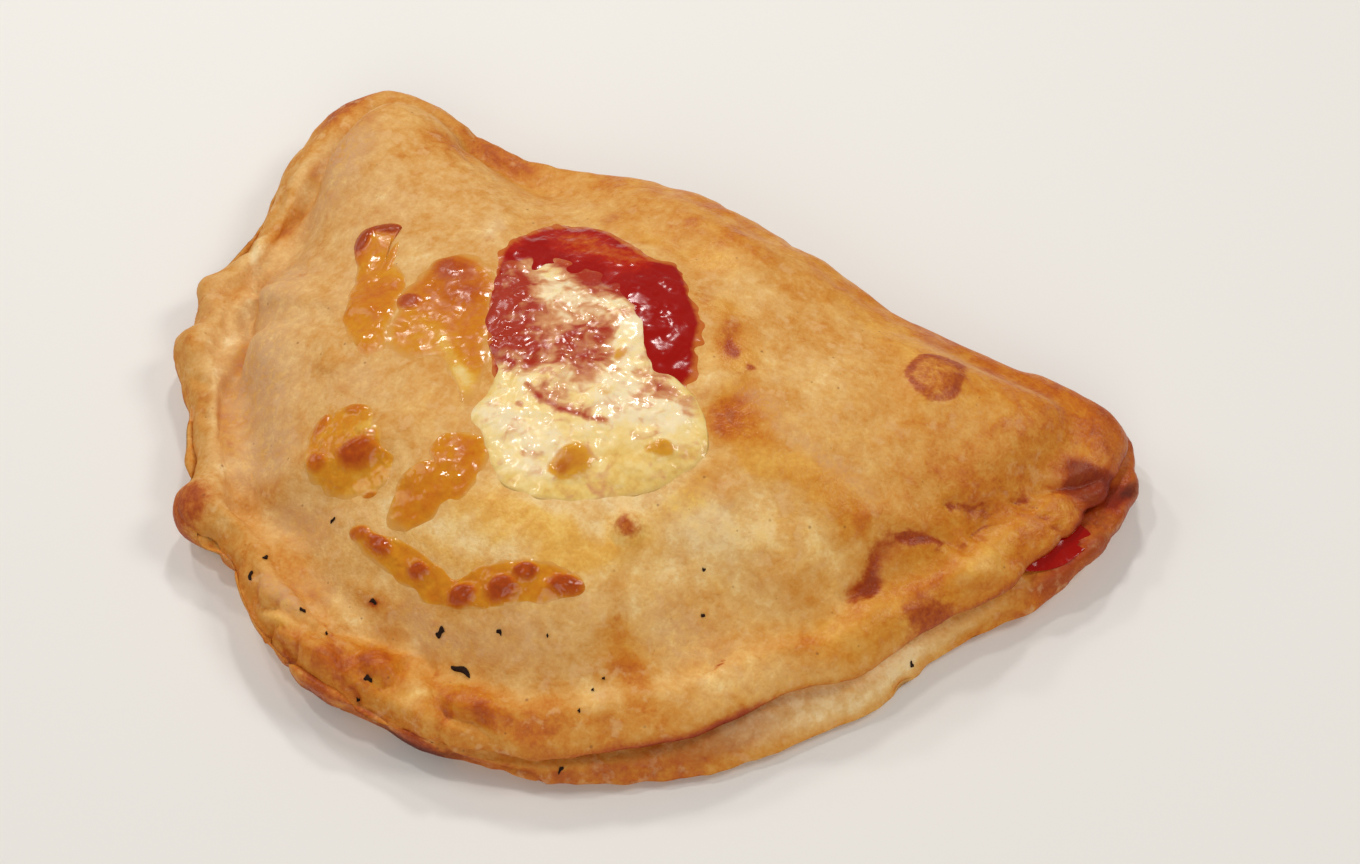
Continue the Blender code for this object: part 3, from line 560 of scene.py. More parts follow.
class Look:
    """A material being built: each call adds a node and gives back its output."""

    def __init__(self, name):
        self.material = bpy.data.materials.new(name)
        self.material.use_nodes = True
        self.nodes = self.material.node_tree.nodes
        self.links = self.material.node_tree.links
        self.shader = self.nodes["Principled BSDF"]
        self.object = self.nodes.new("ShaderNodeTexCoord").outputs["Object"]

    def feed(self, socket, value):
        if isinstance(value, bpy.types.NodeSocket):
            self.links.new(value, socket)
        else:
            socket.default_value = value

    def field(self, name):
        node = self.nodes.new("ShaderNodeAttribute")
        node.attribute_name = name
        return node.outputs["Fac"]

    def noise(self, size, detail=2.0, roughness=0.5, distortion=0.0):
        """Noise whose grains are about size millimetres, around 0.5."""
        node = self.nodes.new("ShaderNodeTexNoise")
        self.links.new(self.object, node.inputs["Vector"])
        node.inputs["Scale"].default_value = 1 / (size * MM)
        node.inputs["Detail"].default_value = detail
        node.inputs["Roughness"].default_value = roughness
        node.inputs["Distortion"].default_value = distortion
        return node.outputs["Fac"]

    def wet_bump(self, size, distance, amount=1.0):
        """Smooth lumps of two sizes, with nothing finer that would dull the glints of a wet surface."""
        lumps, small = self.noise(size, 0, 0.5, 0.4), self.noise(size * 0.42, 0)
        share = self.ranged(self.noise(size * 2.4, 1), 0.42, 0.62, 0.04, 0.42)
        return self.bump(self.times(self.add(lumps, self.times(small, share)), amount), distance)

    def streaks(self, size, stretch, turn):
        """Noise drawn out along a direction in plan, for cheese pulled into the sauce."""
        place = self.nodes.new("ShaderNodeMapping")
        place.inputs["Rotation"].default_value = (0, 0, math.radians(-turn))
        self.links.new(self.object, place.inputs["Vector"])
        longer = self.nodes.new("ShaderNodeMapping")
        longer.inputs["Scale"].default_value = (1 / stretch, 1, 1)
        self.links.new(place.outputs["Vector"], longer.inputs["Vector"])
        node = self.nodes.new("ShaderNodeTexNoise")
        self.links.new(longer.outputs["Vector"], node.inputs["Vector"])
        node.inputs["Scale"].default_value = 1 / (size * MM)
        node.inputs["Detail"].default_value = 2
        node.inputs["Distortion"].default_value = 0.6
        return node.outputs["Fac"]

    def cells(self, size):
        node = self.nodes.new("ShaderNodeTexVoronoi")
        self.links.new(self.object, node.inputs["Vector"])
        node.inputs["Scale"].default_value = 1 / (size * MM)
        return node.outputs["Distance"]

    def math(self, operation, a, b=0.0, clamp=False):
        node = self.nodes.new("ShaderNodeMath")
        node.operation = operation
        node.use_clamp = clamp
        self.feed(node.inputs[0], a)
        self.feed(node.inputs[1], b)
        return node.outputs[0]

    def add(self, *values):
        total = values[0]
        for value in values[1:]:
            total = self.math("ADD", total, value)
        return total

    def times(self, a, b):
        return self.math("MULTIPLY", a, b)

    def around_zero(self, noise, amount):
        return self.times(self.math("SUBTRACT", noise, 0.5), amount)

    def ranged(self, value, low, high, to_low=0.0, to_high=1.0):
        node = self.nodes.new("ShaderNodeMapRange")
        node.interpolation_type = "SMOOTHSTEP"
        self.feed(node.inputs["Value"], value)
        node.inputs["From Min"].default_value = low
        node.inputs["From Max"].default_value = high
        node.inputs["To Min"].default_value = to_low
        node.inputs["To Max"].default_value = to_high
        return node.outputs["Result"]

    def edged(self, colour, grains, amount, edge_colour):
        """The colour, gone over into another one by the field edge, with an uneven line between them."""
        edge = self.ranged(self.add(self.field("edge"), grains), 0.3, 1.0)
        return self.mix(self.times(edge, amount), colour, edge_colour)

    def ramp(self, value, stops):
        node = self.nodes.new("ShaderNodeValToRGB")
        elements = node.color_ramp.elements
        while len(elements) < len(stops):
            elements.new(0.5)
        for element, (place, colour) in zip(elements, stops):
            element.position = place
            element.color = (*colour, 1)
        self.feed(node.inputs["Fac"], value)
        return node.outputs["Color"]

    def mix(self, factor, a, b, blend_type="MIX"):
        node = self.nodes.new("ShaderNodeMix")
        node.data_type = "RGBA"
        node.blend_type = blend_type
        self.feed(node.inputs[0], factor)
        for socket, value in ((node.inputs[6], a), (node.inputs[7], b)):
            self.feed(socket, (*value, 1) if isinstance(value, tuple) else value)
        return node.outputs[2]

    def bump(self, height, distance, strength=1.0, below=None):
        node = self.nodes.new("ShaderNodeBump")
        node.inputs["Distance"].default_value = distance * MM
        node.inputs["Strength"].default_value = strength
        self.feed(node.inputs["Height"], height)
        if below is not None:
            self.links.new(below, node.inputs["Normal"])
        return node.outputs["Normal"]

    def finish(self, colour, roughness, normal, **fixed):
        self.feed(self.shader.inputs["Base Color"], colour)
        self.feed(self.shader.inputs["Roughness"], roughness)
        self.links.new(normal, self.shader.inputs["Normal"])
        for name, value in fixed.items():
            self.shader.inputs[name.replace("_", " ")].default_value = value
        return self.material


def linear(red, green, blue):
    """A colour given as the usual 0 to 255 screen values."""
    return tuple(((c / 255 + 0.055) / 1.055) ** 2.4 for c in (red, green, blue))


def bake_ramp():
    made = bpy.context.scene.calzone_crust
    colours = (made.raw, made.pale, made.tan, made.golden, made.amber, made.brown, made.dark)
    places = (0.0, 0.18, 0.36, 0.5, 0.64, 0.8, 1.0)
    return [(place, tuple(colour)) for place, colour in zip(places, colours)]


def dough_look():
    """Baked dough: tan to brown by how far it is baked, dull where floured, golden where oiled."""
    look = Look("baked dough")
    made = bpy.context.scene.calzone_crust
    broad, patchy, mottle = look.noise(19, 2), look.noise(6, 3, 0.55, 0.5), look.noise(2.2, 3, 0.6)
    fine, tint = look.noise(0.8, 2), look.noise(3.6, 3, 0.6, 0.3)

    # The field baked also holds painted shade in creases, folds and the seam, and painted highlights on
    # the rim and the lip.
    baked = look.add(
        look.field("baked"),
        look.around_zero(broad, 0.36),
        look.around_zero(patchy, 0.7),
        look.around_zero(mottle, 0.46),
        look.around_zero(fine, 0.24),
    )
    colour = look.ramp(baked, bake_ramp())
    oil = look.math("ADD", look.field("oiled"), look.around_zero(tint, 1.1), True)
    colour = look.mix(look.times(oil, 0.95), colour, linear(255, 236, 166), "MULTIPLY")
    flecked = look.ranged(look.add(look.noise(4, 3, 0.6), look.around_zero(patchy, 0.5)), 0.55, 0.7)
    flecked = look.times(flecked, look.ranged(oil, 0.2, 1.0, 0.42, 0.1))
    colour = look.mix(flecked, colour, linear(234, 192, 134))
    dusted = look.ranged(look.add(mottle, look.around_zero(fine, 0.5)), 0.3, 0.62)
    flour = look.times(look.field("floured"), dusted)
    colour = look.mix(look.times(flour, 0.66), colour, linear(212, 168, 130))

    # The field browned also holds painted shade in the seam and in a dimple's slit.
    brown = look.add(look.field("browned"), look.around_zero(mottle, 0.8), look.around_zero(patchy, 0.6))
    depth = look.add(look.times(brown, 0.8), look.around_zero(fine, 0.6), look.around_zero(tint, 0.5))
    browns = look.ramp(depth, [
        (0.2, linear(206, 132, 48)), (0.45, linear(192, 106, 34)), (0.7, linear(174, 82, 26)),
        (0.95, linear(154, 62, 22)),
    ])
    colour = look.mix(look.ranged(brown, 0.16, 0.85), colour, browns)
    stain = look.add(look.field("stained"), look.around_zero(tint, 0.5))
    reds = look.ramp(stain, [(0.4, linear(180, 64, 24)), (1.0, linear(128, 20, 6))])
    colour = look.mix(look.times(look.ranged(stain, 0.1, 1.0), 0.85), colour, reds)
    burnt = look.ranged(look.add(look.field("burnt"), look.around_zero(mottle, 0.6)), 0.2, 0.9)
    colour = look.mix(look.times(burnt, 0.9), colour, tuple(made.burnt))
    specks = look.ranged(look.add(look.cells(4.4), look.around_zero(patchy, 0.35)), 0.0, 0.08, 1.0, 0.0)
    colour = look.mix(look.times(specks, 0.5), colour, linear(120, 62, 28))

    gloss = look.add(oil, look.times(brown, 0.5))
    roughness = look.add(
        look.times(burnt, 0.3),
        look.ranged(gloss, 0.1, 1.0, 0.68, 0.36),
        look.times(flour, 0.15),
        look.around_zero(fine, 0.3),
    )
    pores = look.bump(look.add(fine, look.times(mottle, 1.2)), 0.16)
    normal = look.bump(look.add(patchy, look.times(tint, 0.4)), 0.5, 0.6, pores)
    return look.finish(
        colour, roughness, normal, Subsurface_Weight=0.05, Subsurface_Radius=(0.003, 0.0012, 0.0005),
        Subsurface_Scale=1.0, Specular_IOR_Level=0.22,
    )


def sauce_look(name="tomato sauce"):
    """Cooked tomato: deep red and wet, orange where it is thin or oily."""
    look = Look(name)
    pulp, patchy = look.noise(1.8, 3, 0.6), look.noise(6, 2, 0.5, 0.3)
    thin = look.add(look.field("thin"), look.around_zero(pulp, 0.8), look.around_zero(patchy, 0.7))
    made = bpy.context.scene.calzone_toppings
    colour = look.ramp(thin, [
        (0.1, tuple(made.tomato_deep)), (0.45, tuple(made.tomato)), (0.72, tuple(made.tomato_thin)),
        (1.0, linear(214, 128, 44)),
    ])
    colour = look.edged(colour, look.around_zero(pulp, 0.6), 0.85, linear(200, 112, 44))
    roughness = look.ranged(patchy, 0.35, 0.65, 0.12, 0.24)
    return look.finish(colour, roughness, look.wet_bump(3.4, 0.34), Specular_IOR_Level=0.2)


def mozzarella_look():
    """Melted mozzarella: cream, yellow where thin, with tomato drawn into it and browned bubbles."""
    look = Look("melted mozzarella")
    made = bpy.context.scene.calzone_toppings
    lumps, grains = look.noise(3.6, 2, 0.5), look.noise(1.5, 3, 0.6)
    drawn, patchy = look.streaks(2.2, 1.8, 25), look.noise(4.4, 2, 0.5, 0.7)
    thin = look.add(look.field("thin"), look.around_zero(lumps, 0.9), look.around_zero(grains, 0.5))
    colour = look.ramp(thin, [
        (0.0, tuple(made.cheese_white)), (0.3, tuple(made.cheese)), (0.62, tuple(made.cheese_thin)),
        (1.0, linear(208, 146, 62)),
    ])
    brown = look.add(look.field("browned"), look.around_zero(lumps, 0.3), look.around_zero(grains, 0.2))
    colour = look.mix(look.ranged(brown, 0.2, 0.5), colour, linear(222, 158, 44))
    colour = look.mix(look.ranged(brown, 0.5, 1.0), colour, linear(188, 96, 24))
    red = look.times(look.field("stained"), 0.85)
    red = look.add(red, look.around_zero(drawn, 0.6), look.around_zero(patchy, 1.5))
    orange = look.ranged(look.field("orange"), 0.2, 0.8)
    sauce = look.mix(orange, linear(168, 32, 10), linear(190, 78, 26))
    colour = look.mix(look.ranged(red, 0.02, 0.5), colour, linear(220, 158, 106))
    colour = look.mix(look.ranged(red, 0.28, 1.05, 0.0, 0.95), colour, sauce)
    colour = look.edged(colour, look.around_zero(grains, 0.6), 0.8, linear(226, 184, 106))
    roughness = look.ranged(lumps, 0.35, 0.65, 0.12, 0.28)
    return look.finish(
        colour, roughness, look.wet_bump(3.2, 0.5), Subsurface_Weight=0.12,
        Subsurface_Radius=(0.003, 0.002, 0.001), Subsurface_Scale=1.0, Specular_IOR_Level=0.35,
    )


def browned_look():
    """Cheese baked golden to brown, with an oily gloss."""
    look = Look("browned cheese")
    made = bpy.context.scene.calzone_toppings
    lumps, mottle = look.noise(3.6, 3, 0.55, 0.3), look.noise(1.5, 3, 0.6)
    brown = look.add(look.field("browned"), look.around_zero(lumps, 0.34), look.around_zero(mottle, 0.3))
    colour = look.ramp(brown, [
        (0.0, linear(240, 214, 146)), (0.2, linear(228, 176, 74)), (0.4, tuple(made.cheese_gold)),
        (0.6, tuple(made.cheese_amber)), (0.84, tuple(made.cheese_brown)), (1.0, linear(162, 64, 18)),
    ])
    colour = look.mix(look.ranged(look.field("stained"), 0.2, 0.8), colour, linear(165, 36, 16))
    colour = look.edged(colour, look.around_zero(mottle, 0.5), 0.85, linear(216, 158, 82))
    wet = look.field("wet")
    roughness = look.add(look.ranged(lumps, 0.35, 0.65, 0.2, 0.4), look.times(wet, -0.1))
    return look.finish(
        colour, roughness, look.wet_bump(2.4, 0.24, wet), Subsurface_Weight=0.05,
        Subsurface_Radius=(0.003, 0.0015, 0.0006), Subsurface_Scale=1.0, Specular_IOR_Level=0.3,
    )


def charred_look():
    """Herb leaves burnt almost black."""
    look = Look("charred herb")
    fibre = look.noise(0.5, 3)
    colour = look.ramp(fibre, [(0.3, linear(24, 14, 10)), (0.7, linear(54, 34, 24))])
    roughness = look.ranged(fibre, 0.3, 0.7, 0.6, 0.9)
    return look.finish(colour, roughness, look.bump(fibre, 0.3), Specular_IOR_Level=0.1)


# ---------------------------------------------------------------- settings

def colour_property(name, description, red, green, blue):
    return bpy.props.FloatVectorProperty(
        name=name, description=description, subtype="COLOR", size=3, min=0, max=1,
        default=linear(red, green, blue),
    )


class CrustSettings(bpy.types.PropertyGroup):
    """What a user would change on the dough"""

    unevenness: bpy.props.FloatProperty(
        name="Unevenness", description="Height of the small random waves of the dough",
        default=0.0008, min=0, max=0.003, unit="LENGTH", precision=4,
    )
    raw: colour_property("Raw", "Dough that is hardly baked", 242, 212, 158)
    pale: colour_property("Pale", "Lightly baked dough", 230, 186, 120)
    tan: colour_property("Tan", "The dough's usual colour", 219, 166, 96)
    golden: colour_property("Golden", "Well baked dough", 212, 150, 70)
    amber: colour_property("Amber", "Dough baked orange brown", 204, 130, 46)
    brown: colour_property("Brown", "Browned dough", 190, 104, 34)
    dark: colour_property("Dark", "Dough browned most", 166, 76, 28)
    burnt: colour_property("Burnt", "Burnt dough", 88, 30, 14)


class ToppingSettings(bpy.types.PropertyGroup):
    """What a user would change on the sauce and the cheese"""

    cheese_depth: bpy.props.FloatProperty(
        name="Cheese depth", description="Thickness of the pool of melted mozzarella",
        default=0.0026, min=0.0005, max=0.005, unit="LENGTH", precision=4,
    )
    tomato: colour_property("Tomato", "Tomato sauce", 178, 32, 12)
    tomato_deep: colour_property("Deep tomato", "Tomato sauce where it is thick", 158, 16, 8)
    tomato_thin: colour_property("Thin tomato", "Tomato sauce where it is thin", 194, 80, 24)
    cheese: colour_property("Cheese", "Melted mozzarella", 250, 220, 150)
    cheese_white: colour_property("White cheese", "Mozzarella where it is thick", 252, 230, 186)
    cheese_thin: colour_property("Thin cheese", "Mozzarella where it is thin", 240, 200, 112)
    cheese_gold: colour_property("Golden cheese", "Lightly browned cheese", 216, 142, 30)
    cheese_amber: colour_property("Amber cheese", "Browned cheese", 204, 114, 20)
    cheese_brown: colour_property("Brown cheese", "Cheese browned most", 180, 76, 16)


class StageSettings(bpy.types.PropertyGroup):
    """The floor, the lights and the camera"""

    floor: colour_property("Floor", "Colour of the floor", 236, 234, 230)
    azimuth: bpy.props.FloatProperty(
        name="Camera azimuth", description="Turn of the camera round the calzone, from its front",
        default=math.radians(30), subtype="ANGLE",
    )
    elevation: bpy.props.FloatProperty(
        name="Camera elevation", description="Height of the camera over the horizon",
        default=math.radians(52), subtype="ANGLE",
    )
    distance: bpy.props.FloatProperty(
        name="Camera distance", description="From the camera to what it aims at",
        default=0.475, min=0.1, unit="LENGTH",
    )
    lens: bpy.props.FloatProperty(name="Lens", description="Focal length", default=50, unit="CAMERA")


# ---------------------------------------------------------------- the crust

def crust_points():
    """The crust as (object, points, levels, angles), before its small relief."""
    obj, angle, ring = add_ball("crust", CRUST_SEGMENTS, sum(SECTION_RINGS))
    levels = [i + np.arange(rings) / rings for i, rings in enumerate(SECTION_RINGS)]
    level = np.concatenate([*levels, [len(SECTION_RINGS)]])[ring]
    wobble = 0.5 * np.sin(np.radians(angle * 7 + 20)) + 0.35 * np.sin(np.radians(angle * 17 + 80))
    section = along(dough_section(angle), level)
    out = around(OUTLINE, angle) - section[:, 0]
    out += wobble * blend(level, 2.0, 4.0) * (1 - blend(level, 8.0, 10.0)) * 0.6
    x, y = out * np.cos(np.radians(angle)), out * np.sin(np.radians(angle))
    z = section[:, 1] + swell(x, y) * blend(level, 9, 11.5)
    return obj, np.stack([x, y, z], axis=1), level, angle


class Skin:
    """Every point of the crust: where it lies, and how far it belongs to each part of the skin."""

    def __init__(self, points, level, angle):
        self.points, self.level, self.angle = points, level, angle
        self.x, self.y = points[:, 0], points[:, 1]
        self.off_base = blend(level, 2.2, 3.6)
        self.upper = blend(level, 8.3, 9.6)
        self.inset = around(OUTLINE, angle) - np.hypot(self.x, self.y)
        # A number added to the points takes the noise from another place.
        self.folds = np.exp(-((GRAIN_B(points * (1, 1.5, 1) + 90, 10) / 0.12) ** 2))
        self.crumpled = np.clip(laid(self.x, self.y, CRUMPLED), 0, 1) * self.off_base
        parted = around(PARTED, angle)
        self.crevice = blend(level, 6.4, 7.1) * (1 - blend(level, 8.0, 8.8)) * parted
        self.flange = blend(level, 4.6, 5.6) * (1 - blend(level, 7.0, 8.0)) * parted
        warped = strayed(points, 2.4, 6)
        self.wx, self.wy = warped[:, 0], warped[:, 1]


def skin_rise(skin):
    """How far every point is lifted along its normal."""
    points = skin.points
    waves = bpy.context.scene.calzone_crust.unevenness / MM
    rise = waves * (GRAIN(points, 26) * 1.2 + GRAIN_B(points, 11) * 0.6 + GRAIN(points + 50, 4.5) * 0.3)
    rim = np.exp(-((skin.inset / 12.0) ** 2)) * skin.off_base
    rise += rim * 0.6 * (GRAIN_B(points + 20, 8) + 0.5 * GRAIN(points + 70, 3.2))
    rise -= 0.9 * skin.folds * skin.crumpled
    warped = strayed(points, 1.6, 7, GRAIN, GRAIN_B)
    rise = rise * skin.off_base + relief(warped[:, 0], warped[:, 1]) * skin.upper
    for cx, cy, radius, height in BULGES:
        rise += height * spot(skin.x, skin.y, cx, cy, radius, radius) * skin.off_base
    return rise


def skin_baked_and_painted_light(skin):
    """How far the dough is baked, from 0 for raw to 1 for dark, with painted shade along creases, in the
    crumpled folds and in the seam, and painted highlights on the rim and the lip.
    """
    x, y, level, angle = skin.x, skin.y, skin.level, skin.angle
    baked = 0.38 + 0.26 * blend(x, 58, 112) * blend(y, -15, 15)
    baked += 0.1 * blend(y, 56, 80) + 0.06 * blend(-y, 40, 75)
    # Darker along the crumpled folds that the relief sinks, which is painted shade, and a little paler
    # between them. The spots laid here hold painted highlights too.
    baked += 1.3 * laid(skin.wx, skin.wy, BAKED_AND_HIGHLIGHT_SPOTS) * skin.upper + (0.16 * skin.folds - 0.05) * skin.crumpled
    for width, amount, line in BAKE_AND_PAINTED_LIGHT_LINES:
        baked += amount * on_line(skin.wx, skin.wy, line, width) * skin.upper
    baked += np.exp(-((skin.inset / 8.0) ** 2)) * blend(level, 3, 5) * around(RIM_BAKE, angle)
    side = blend(level, 2.4, 3.4) * (1 - blend(level, 5.2, 6.2))
    baked += side * around(SIDE_BAKE, angle) * (1 + 0.8 * GRAIN(skin.points, 9))
    underside = 1 - blend(level, 2.2, 3.2)
    patches = 0.5 + 0.16 * GRAIN(skin.points, 22) + 0.12 * GRAIN_B(skin.points, 9)
    baked = baked * (1 - underside) + underside * patches
    # Darker in the seam's crevice between the leaves: painted shade. The reaching flange is made paler.
    baked += 0.3 * skin.crevice - 0.3 * skin.flange * around(PALE_FLANGE, angle)
    return baked


def skin_browned_and_painted_shade(skin):
    """How far spots, lines and the blister are browned beyond the rest. In the seam, and in the slit of a
    dimple, the darker colour is painted shade, deepened where tomato has run in.
    """
    browned = laid(skin.wx, skin.wy, BROWNED) * blend(skin.level, 3, 4)
    frayed = strayed(skin.points, 1.0, 2.6)
    for width, depth, line in BROWN_LINES:
        browned += depth * on_line(frayed[:, 0], frayed[:, 1], line, width) * blend(skin.level, 7.4, 8.2)
    blister = np.hypot((skin.wx - BLISTER[0]) / BLISTER[2], (skin.wy - BLISTER[1]) / BLISTER[3])
    browned += 0.62 * blend(blister, 1.1, 0.92) + 0.34 * np.exp(-(((blister - 0.84) / 0.15) ** 2))
    # Darker in the seam's crevice: painted shade, deepened where tomato has run in.
    browned += 0.5 * skin.crevice * around(RED_SEAM, skin.angle) + 0.34 * skin.crevice
    return np.clip(browned, 0, 1.2)


def skin_burnt(skin):
    """How far the dough is burnt, in spots and along the lower edge."""
    lowest = blend(skin.level, 2.4, 3.2) * (1 - blend(skin.level, 5.0, 7.0))
    burnt = laid(skin.wx, skin.wy, BURNT) * blend(skin.level, 2.4, 3.2)
    return np.clip(burnt + around(EDGE_BURNT, skin.angle) * lowest, 0, 1)


def skin_floured(skin):
    """How much flour is left on the dough."""
    return np.clip(laid(skin.wx, skin.wy, FLOURED) * skin.upper, 0, 1)


def skin_oiled(skin):
    """How much oil has soaked into the dough, which turns it golden."""
    oil = 0.2 + 0.4 * blend(skin.x, 20, 90) + 0.4 * blend(skin.y, 45, 72)
    oil += 0.15 * blend(-skin.y, 50, 75) - 0.2 * blend(-skin.x, 30, 70)
    oil -= 0.6 * skin.flange * around(PALE_FLANGE, skin.angle)
    return np.clip((laid(skin.wx, skin.wy, OILED) * skin.upper + oil) * skin.off_base, 0, 1.2)


def skin_stained(skin):
    """How far tomato has stained the dough, on top and along the seam."""
    stained = laid(skin.wx, skin.wy, STAINED) * blend(skin.level, 4, 5)
    stained += around(RED_SEAM, skin.angle) * (0.9 * skin.crevice + 0.5 * skin.flange)
    return np.clip(stained, 0, 1)


SKIN_FIELDS = {
    "baked": skin_baked_and_painted_light,
    "browned": skin_browned_and_painted_shade,
    "burnt": skin_burnt,
    "floured": skin_floured,
    "oiled": skin_oiled,
    "stained": skin_stained,
}


def make_crust():
    """The crust with its relief, and the numbers that its material reads."""
    obj, points, level, angle = crust_points()
    set_points(obj, points * MM)
    skin = Skin(points, level, angle)
    set_points(obj, (points + normals_of(obj) * skin_rise(skin)[:, None]) * MM)
    for name, values in SKIN_FIELDS.items():
        store(obj, name, values(skin))
    finish_piece(obj, dough_look(), "dough")


# ---------------------------------------------------------------- the toppings

def pool_plan(centre, outline):
    """A way of laying a unit disc out on a pool whose outline is given as points round the centre."""
    steps = np.array(outline, dtype=float) - centre
    headings = np.degrees(np.arctan2(steps[:, 1], steps[:, 0]))
    table = sorted(zip(headings, np.hypot(steps[:, 0], steps[:, 1])))

    def plan(u, v):
        heading = np.arctan2(v, u)
        spread = np.hypot(u, v) * around(table, np.degrees(heading))
        return centre[0] + spread * np.cos(heading), centre[1] + spread * np.sin(heading)

    return plan


def strip_plan(line, widths):
    """A way of laying a unit disc out along a line, with half its width at each point of the line."""
    knots = np.array(line, dtype=float)
    half = np.array(widths, dtype=float)

    def plan(u, v):
        at = (u + 1) / 2 * (len(knots) - 1)
        many = np.broadcast_to(knots, (len(u), *knots.shape))
        place = along(many, at)
        run = along(many, np.minimum(at + 0.03, len(knots) - 1)) - along(many, np.maximum(at - 0.03, 0))
        run /= np.linalg.norm(run, axis=1)[:, None]
        width = along(np.broadcast_to(half[:, None], (len(u), len(half), 1)), at)[:, 0]
        side = v / np.sqrt(np.maximum(1e-6, 1 - u * u * 0.98)) * width
        return place[:, 0] - run[:, 1] * side, place[:, 1] + run[:, 0] * side

    return plan


DROP_HEIGHT = 90.0  # where toppings start before they are dropped on the crust
BURIED = 1.2  # how far the middle of a topping's lower side is sunk in the crust


def make_topping(name, plan, depth, fields, look, node, crust, segments=256, rings=84, ragged=1.1,
                 ragged_size=4.5):
    """A pat of sauce or cheese laid on the crust. depth(x, y, share) gives its thickness, and fields maps
    the name of a stored number to a function of the same values; share is 0 in the middle and 1 at the
    outline. ragged is how far the outline wavers, in waves of about ragged_size."""
    obj, angle, ring = add_ball(name, segments, rings)
    polar = np.pi * ring / rings
    share = np.where(polar > np.pi / 2, (np.pi - polar) / (np.pi / 2), polar / (np.pi / 2))
    u, v = share * np.cos(np.radians(angle)), share * np.sin(np.radians(angle))
    x, y = plan(u, v)
    flat = np.stack([x, y, np.zeros_like(x)], axis=1)
    waver = ragged * blend(share, 0.4, 1.0)
    x = x + waver * GRAIN(flat + 31, ragged_size)
    y = y + waver * GRAIN_B(flat + 31, ragged_size)
    set_points(obj, np.stack([x, y, np.full_like(x, DROP_HEIGHT)], axis=1) * MM)
    lay_on(obj, crust)
    points = points_of(obj) / MM
    x, y = points[:, 0], points[:, 1]
    lower = polar < np.pi / 2 - 1e-6
    points[:, 2] += np.where(lower, -BURIED * (1 - share**4) - 0.25, depth(x, y, share))
    set_points(obj, points * MM)
    for field, values in fields.items():
        store(obj, field, np.clip(values(x, y, share), -0.5, 2.0))
    finish_piece(obj, look, node)


def domed(share, height, edge=0.25, power=3.0):
    """A flat-topped pat that drops to just under the crust at its outline."""
    return height * (1 - share**power) ** 0.8 - edge * share**6


def rough(x, y, size, seed=0.0):
    """Uneven height between -1 and 1; another seed gives other noise."""
    flat = np.stack([x + seed, y - seed, np.full_like(x, seed)], axis=1)
    return GRAIN(flat, size)


def bubbled(x, y, bubbles):
    """Height of rounded bubbles: x, y, radii, turn, height."""
    return sum(b[5] * spot(x, y, *b[:5], 2.8) for b in bubbles)


TOMATO_OUTLINE = (
    (-38, 21), (-41, 31), (-41, 41), (-37, 49), (-30, 53), (-23, 53), (-13.5, 49.5), (-5.5, 47),
    (2.6, 48.5), (11, 40), (20, 31), (23, 23), (26, 12), (21, 7), (8, 0), (-8, -8), (-17, -9), (-24, -2),
    (-30, 6), (-35, 13),
)
CHEESE_OUTLINE = (
    (-17.5, -19), (-17.5, -12.5), (-19, -6), (-25, 1), (-32, 9), (-36.5, 18), (-37, 27), (-34, 34),
    (-27, 40), (-19, 41), (-10, 38.5), (-3, 34), (3.5, 29), (10, 22), (14.5, 16), (22, 12.3), (29, 9.5),
    (34.5, 4.5), (37.3, -2.5), (35.2, -9.7), (31, -16.2), (24.6, -21.5), (14.3, -28.2), (7.4, -31.3),
    (0.4, -31.6), (-5.5, -28), (-11, -22.5),
)
CHEESE_BUBBLES = (
    (12, -18.6, 4.6, 4.0, 55, 1.1), (28.4, -6.2, 3.0, 2.4, 20, 0.8), (9, -24, 2, 1.6, 0, 0.5),
)
CHEESE_BROWN = (
    (12, -18.6, 5.2, 4.4, 55, 0.78), (9.4, -22.4, 2.8, 2.2, 0, 0.4), (28.4, -6.2, 3.2, 2.4, 20, 0.66),
    (8.7, 0, 2.4, 1.8, 0, 0.36), (6.2, 11.7, 1.6, 3, 0, 0.5), (25, -8, 1.4, 1.2, 0, 0.3),
)
CHEESE_RED = (
    (-31, 16, 8, 13, 25, 1.0), (-22, 5, 9, 7, -20, 0.95), (-9, 5.5, 9, 6.5, 15, 0.8),
    (-15, -3, 6, 4, 0, 0.7), (-2, 15, 5, 8, -20, 0.6), (-20, 38, 18, 7.5, 0, 1.0),
    (-3, 32, 9, 4.5, -40, 0.8), (9, 24, 4, 7, 30, 0.7), (-16, 22, 14, 12, 0, 0.8),
    (0, -3, 7, 4.5, 30, 0.42), (5, 7, 5, 7, -20, 0.4), (12, 16, 4, 2.4, 0, 0.3), (-30, 6, 6, 6, 0, 0.5),
    (-12, 30, 12, 5, -20, 0.5), (22, 8, 5, 3, 0, 0.4), (0, 8, 9, 7, 0, 0.26), (17, 6, 8, 4, 0, 0.24),
    (4, -8, 12, 3, 0, 0.22), (20, -2, 6, 3, 0, 0.2), (-7.2, -11.8, 1.3, 1.1, 0, 1.0),
    (12, -1, 5, 3, 0, 0.3), (10, -6.5, 5, 1.2, 10, 0.4), (0, -7, 12, 4, 6, 0.24), (-20, 6, 8, 6, 0, 0.14),
    (2, 12, 8, 6, 0, 0.2), (18, 10, 8, 3.5, -15, 0.25),
)
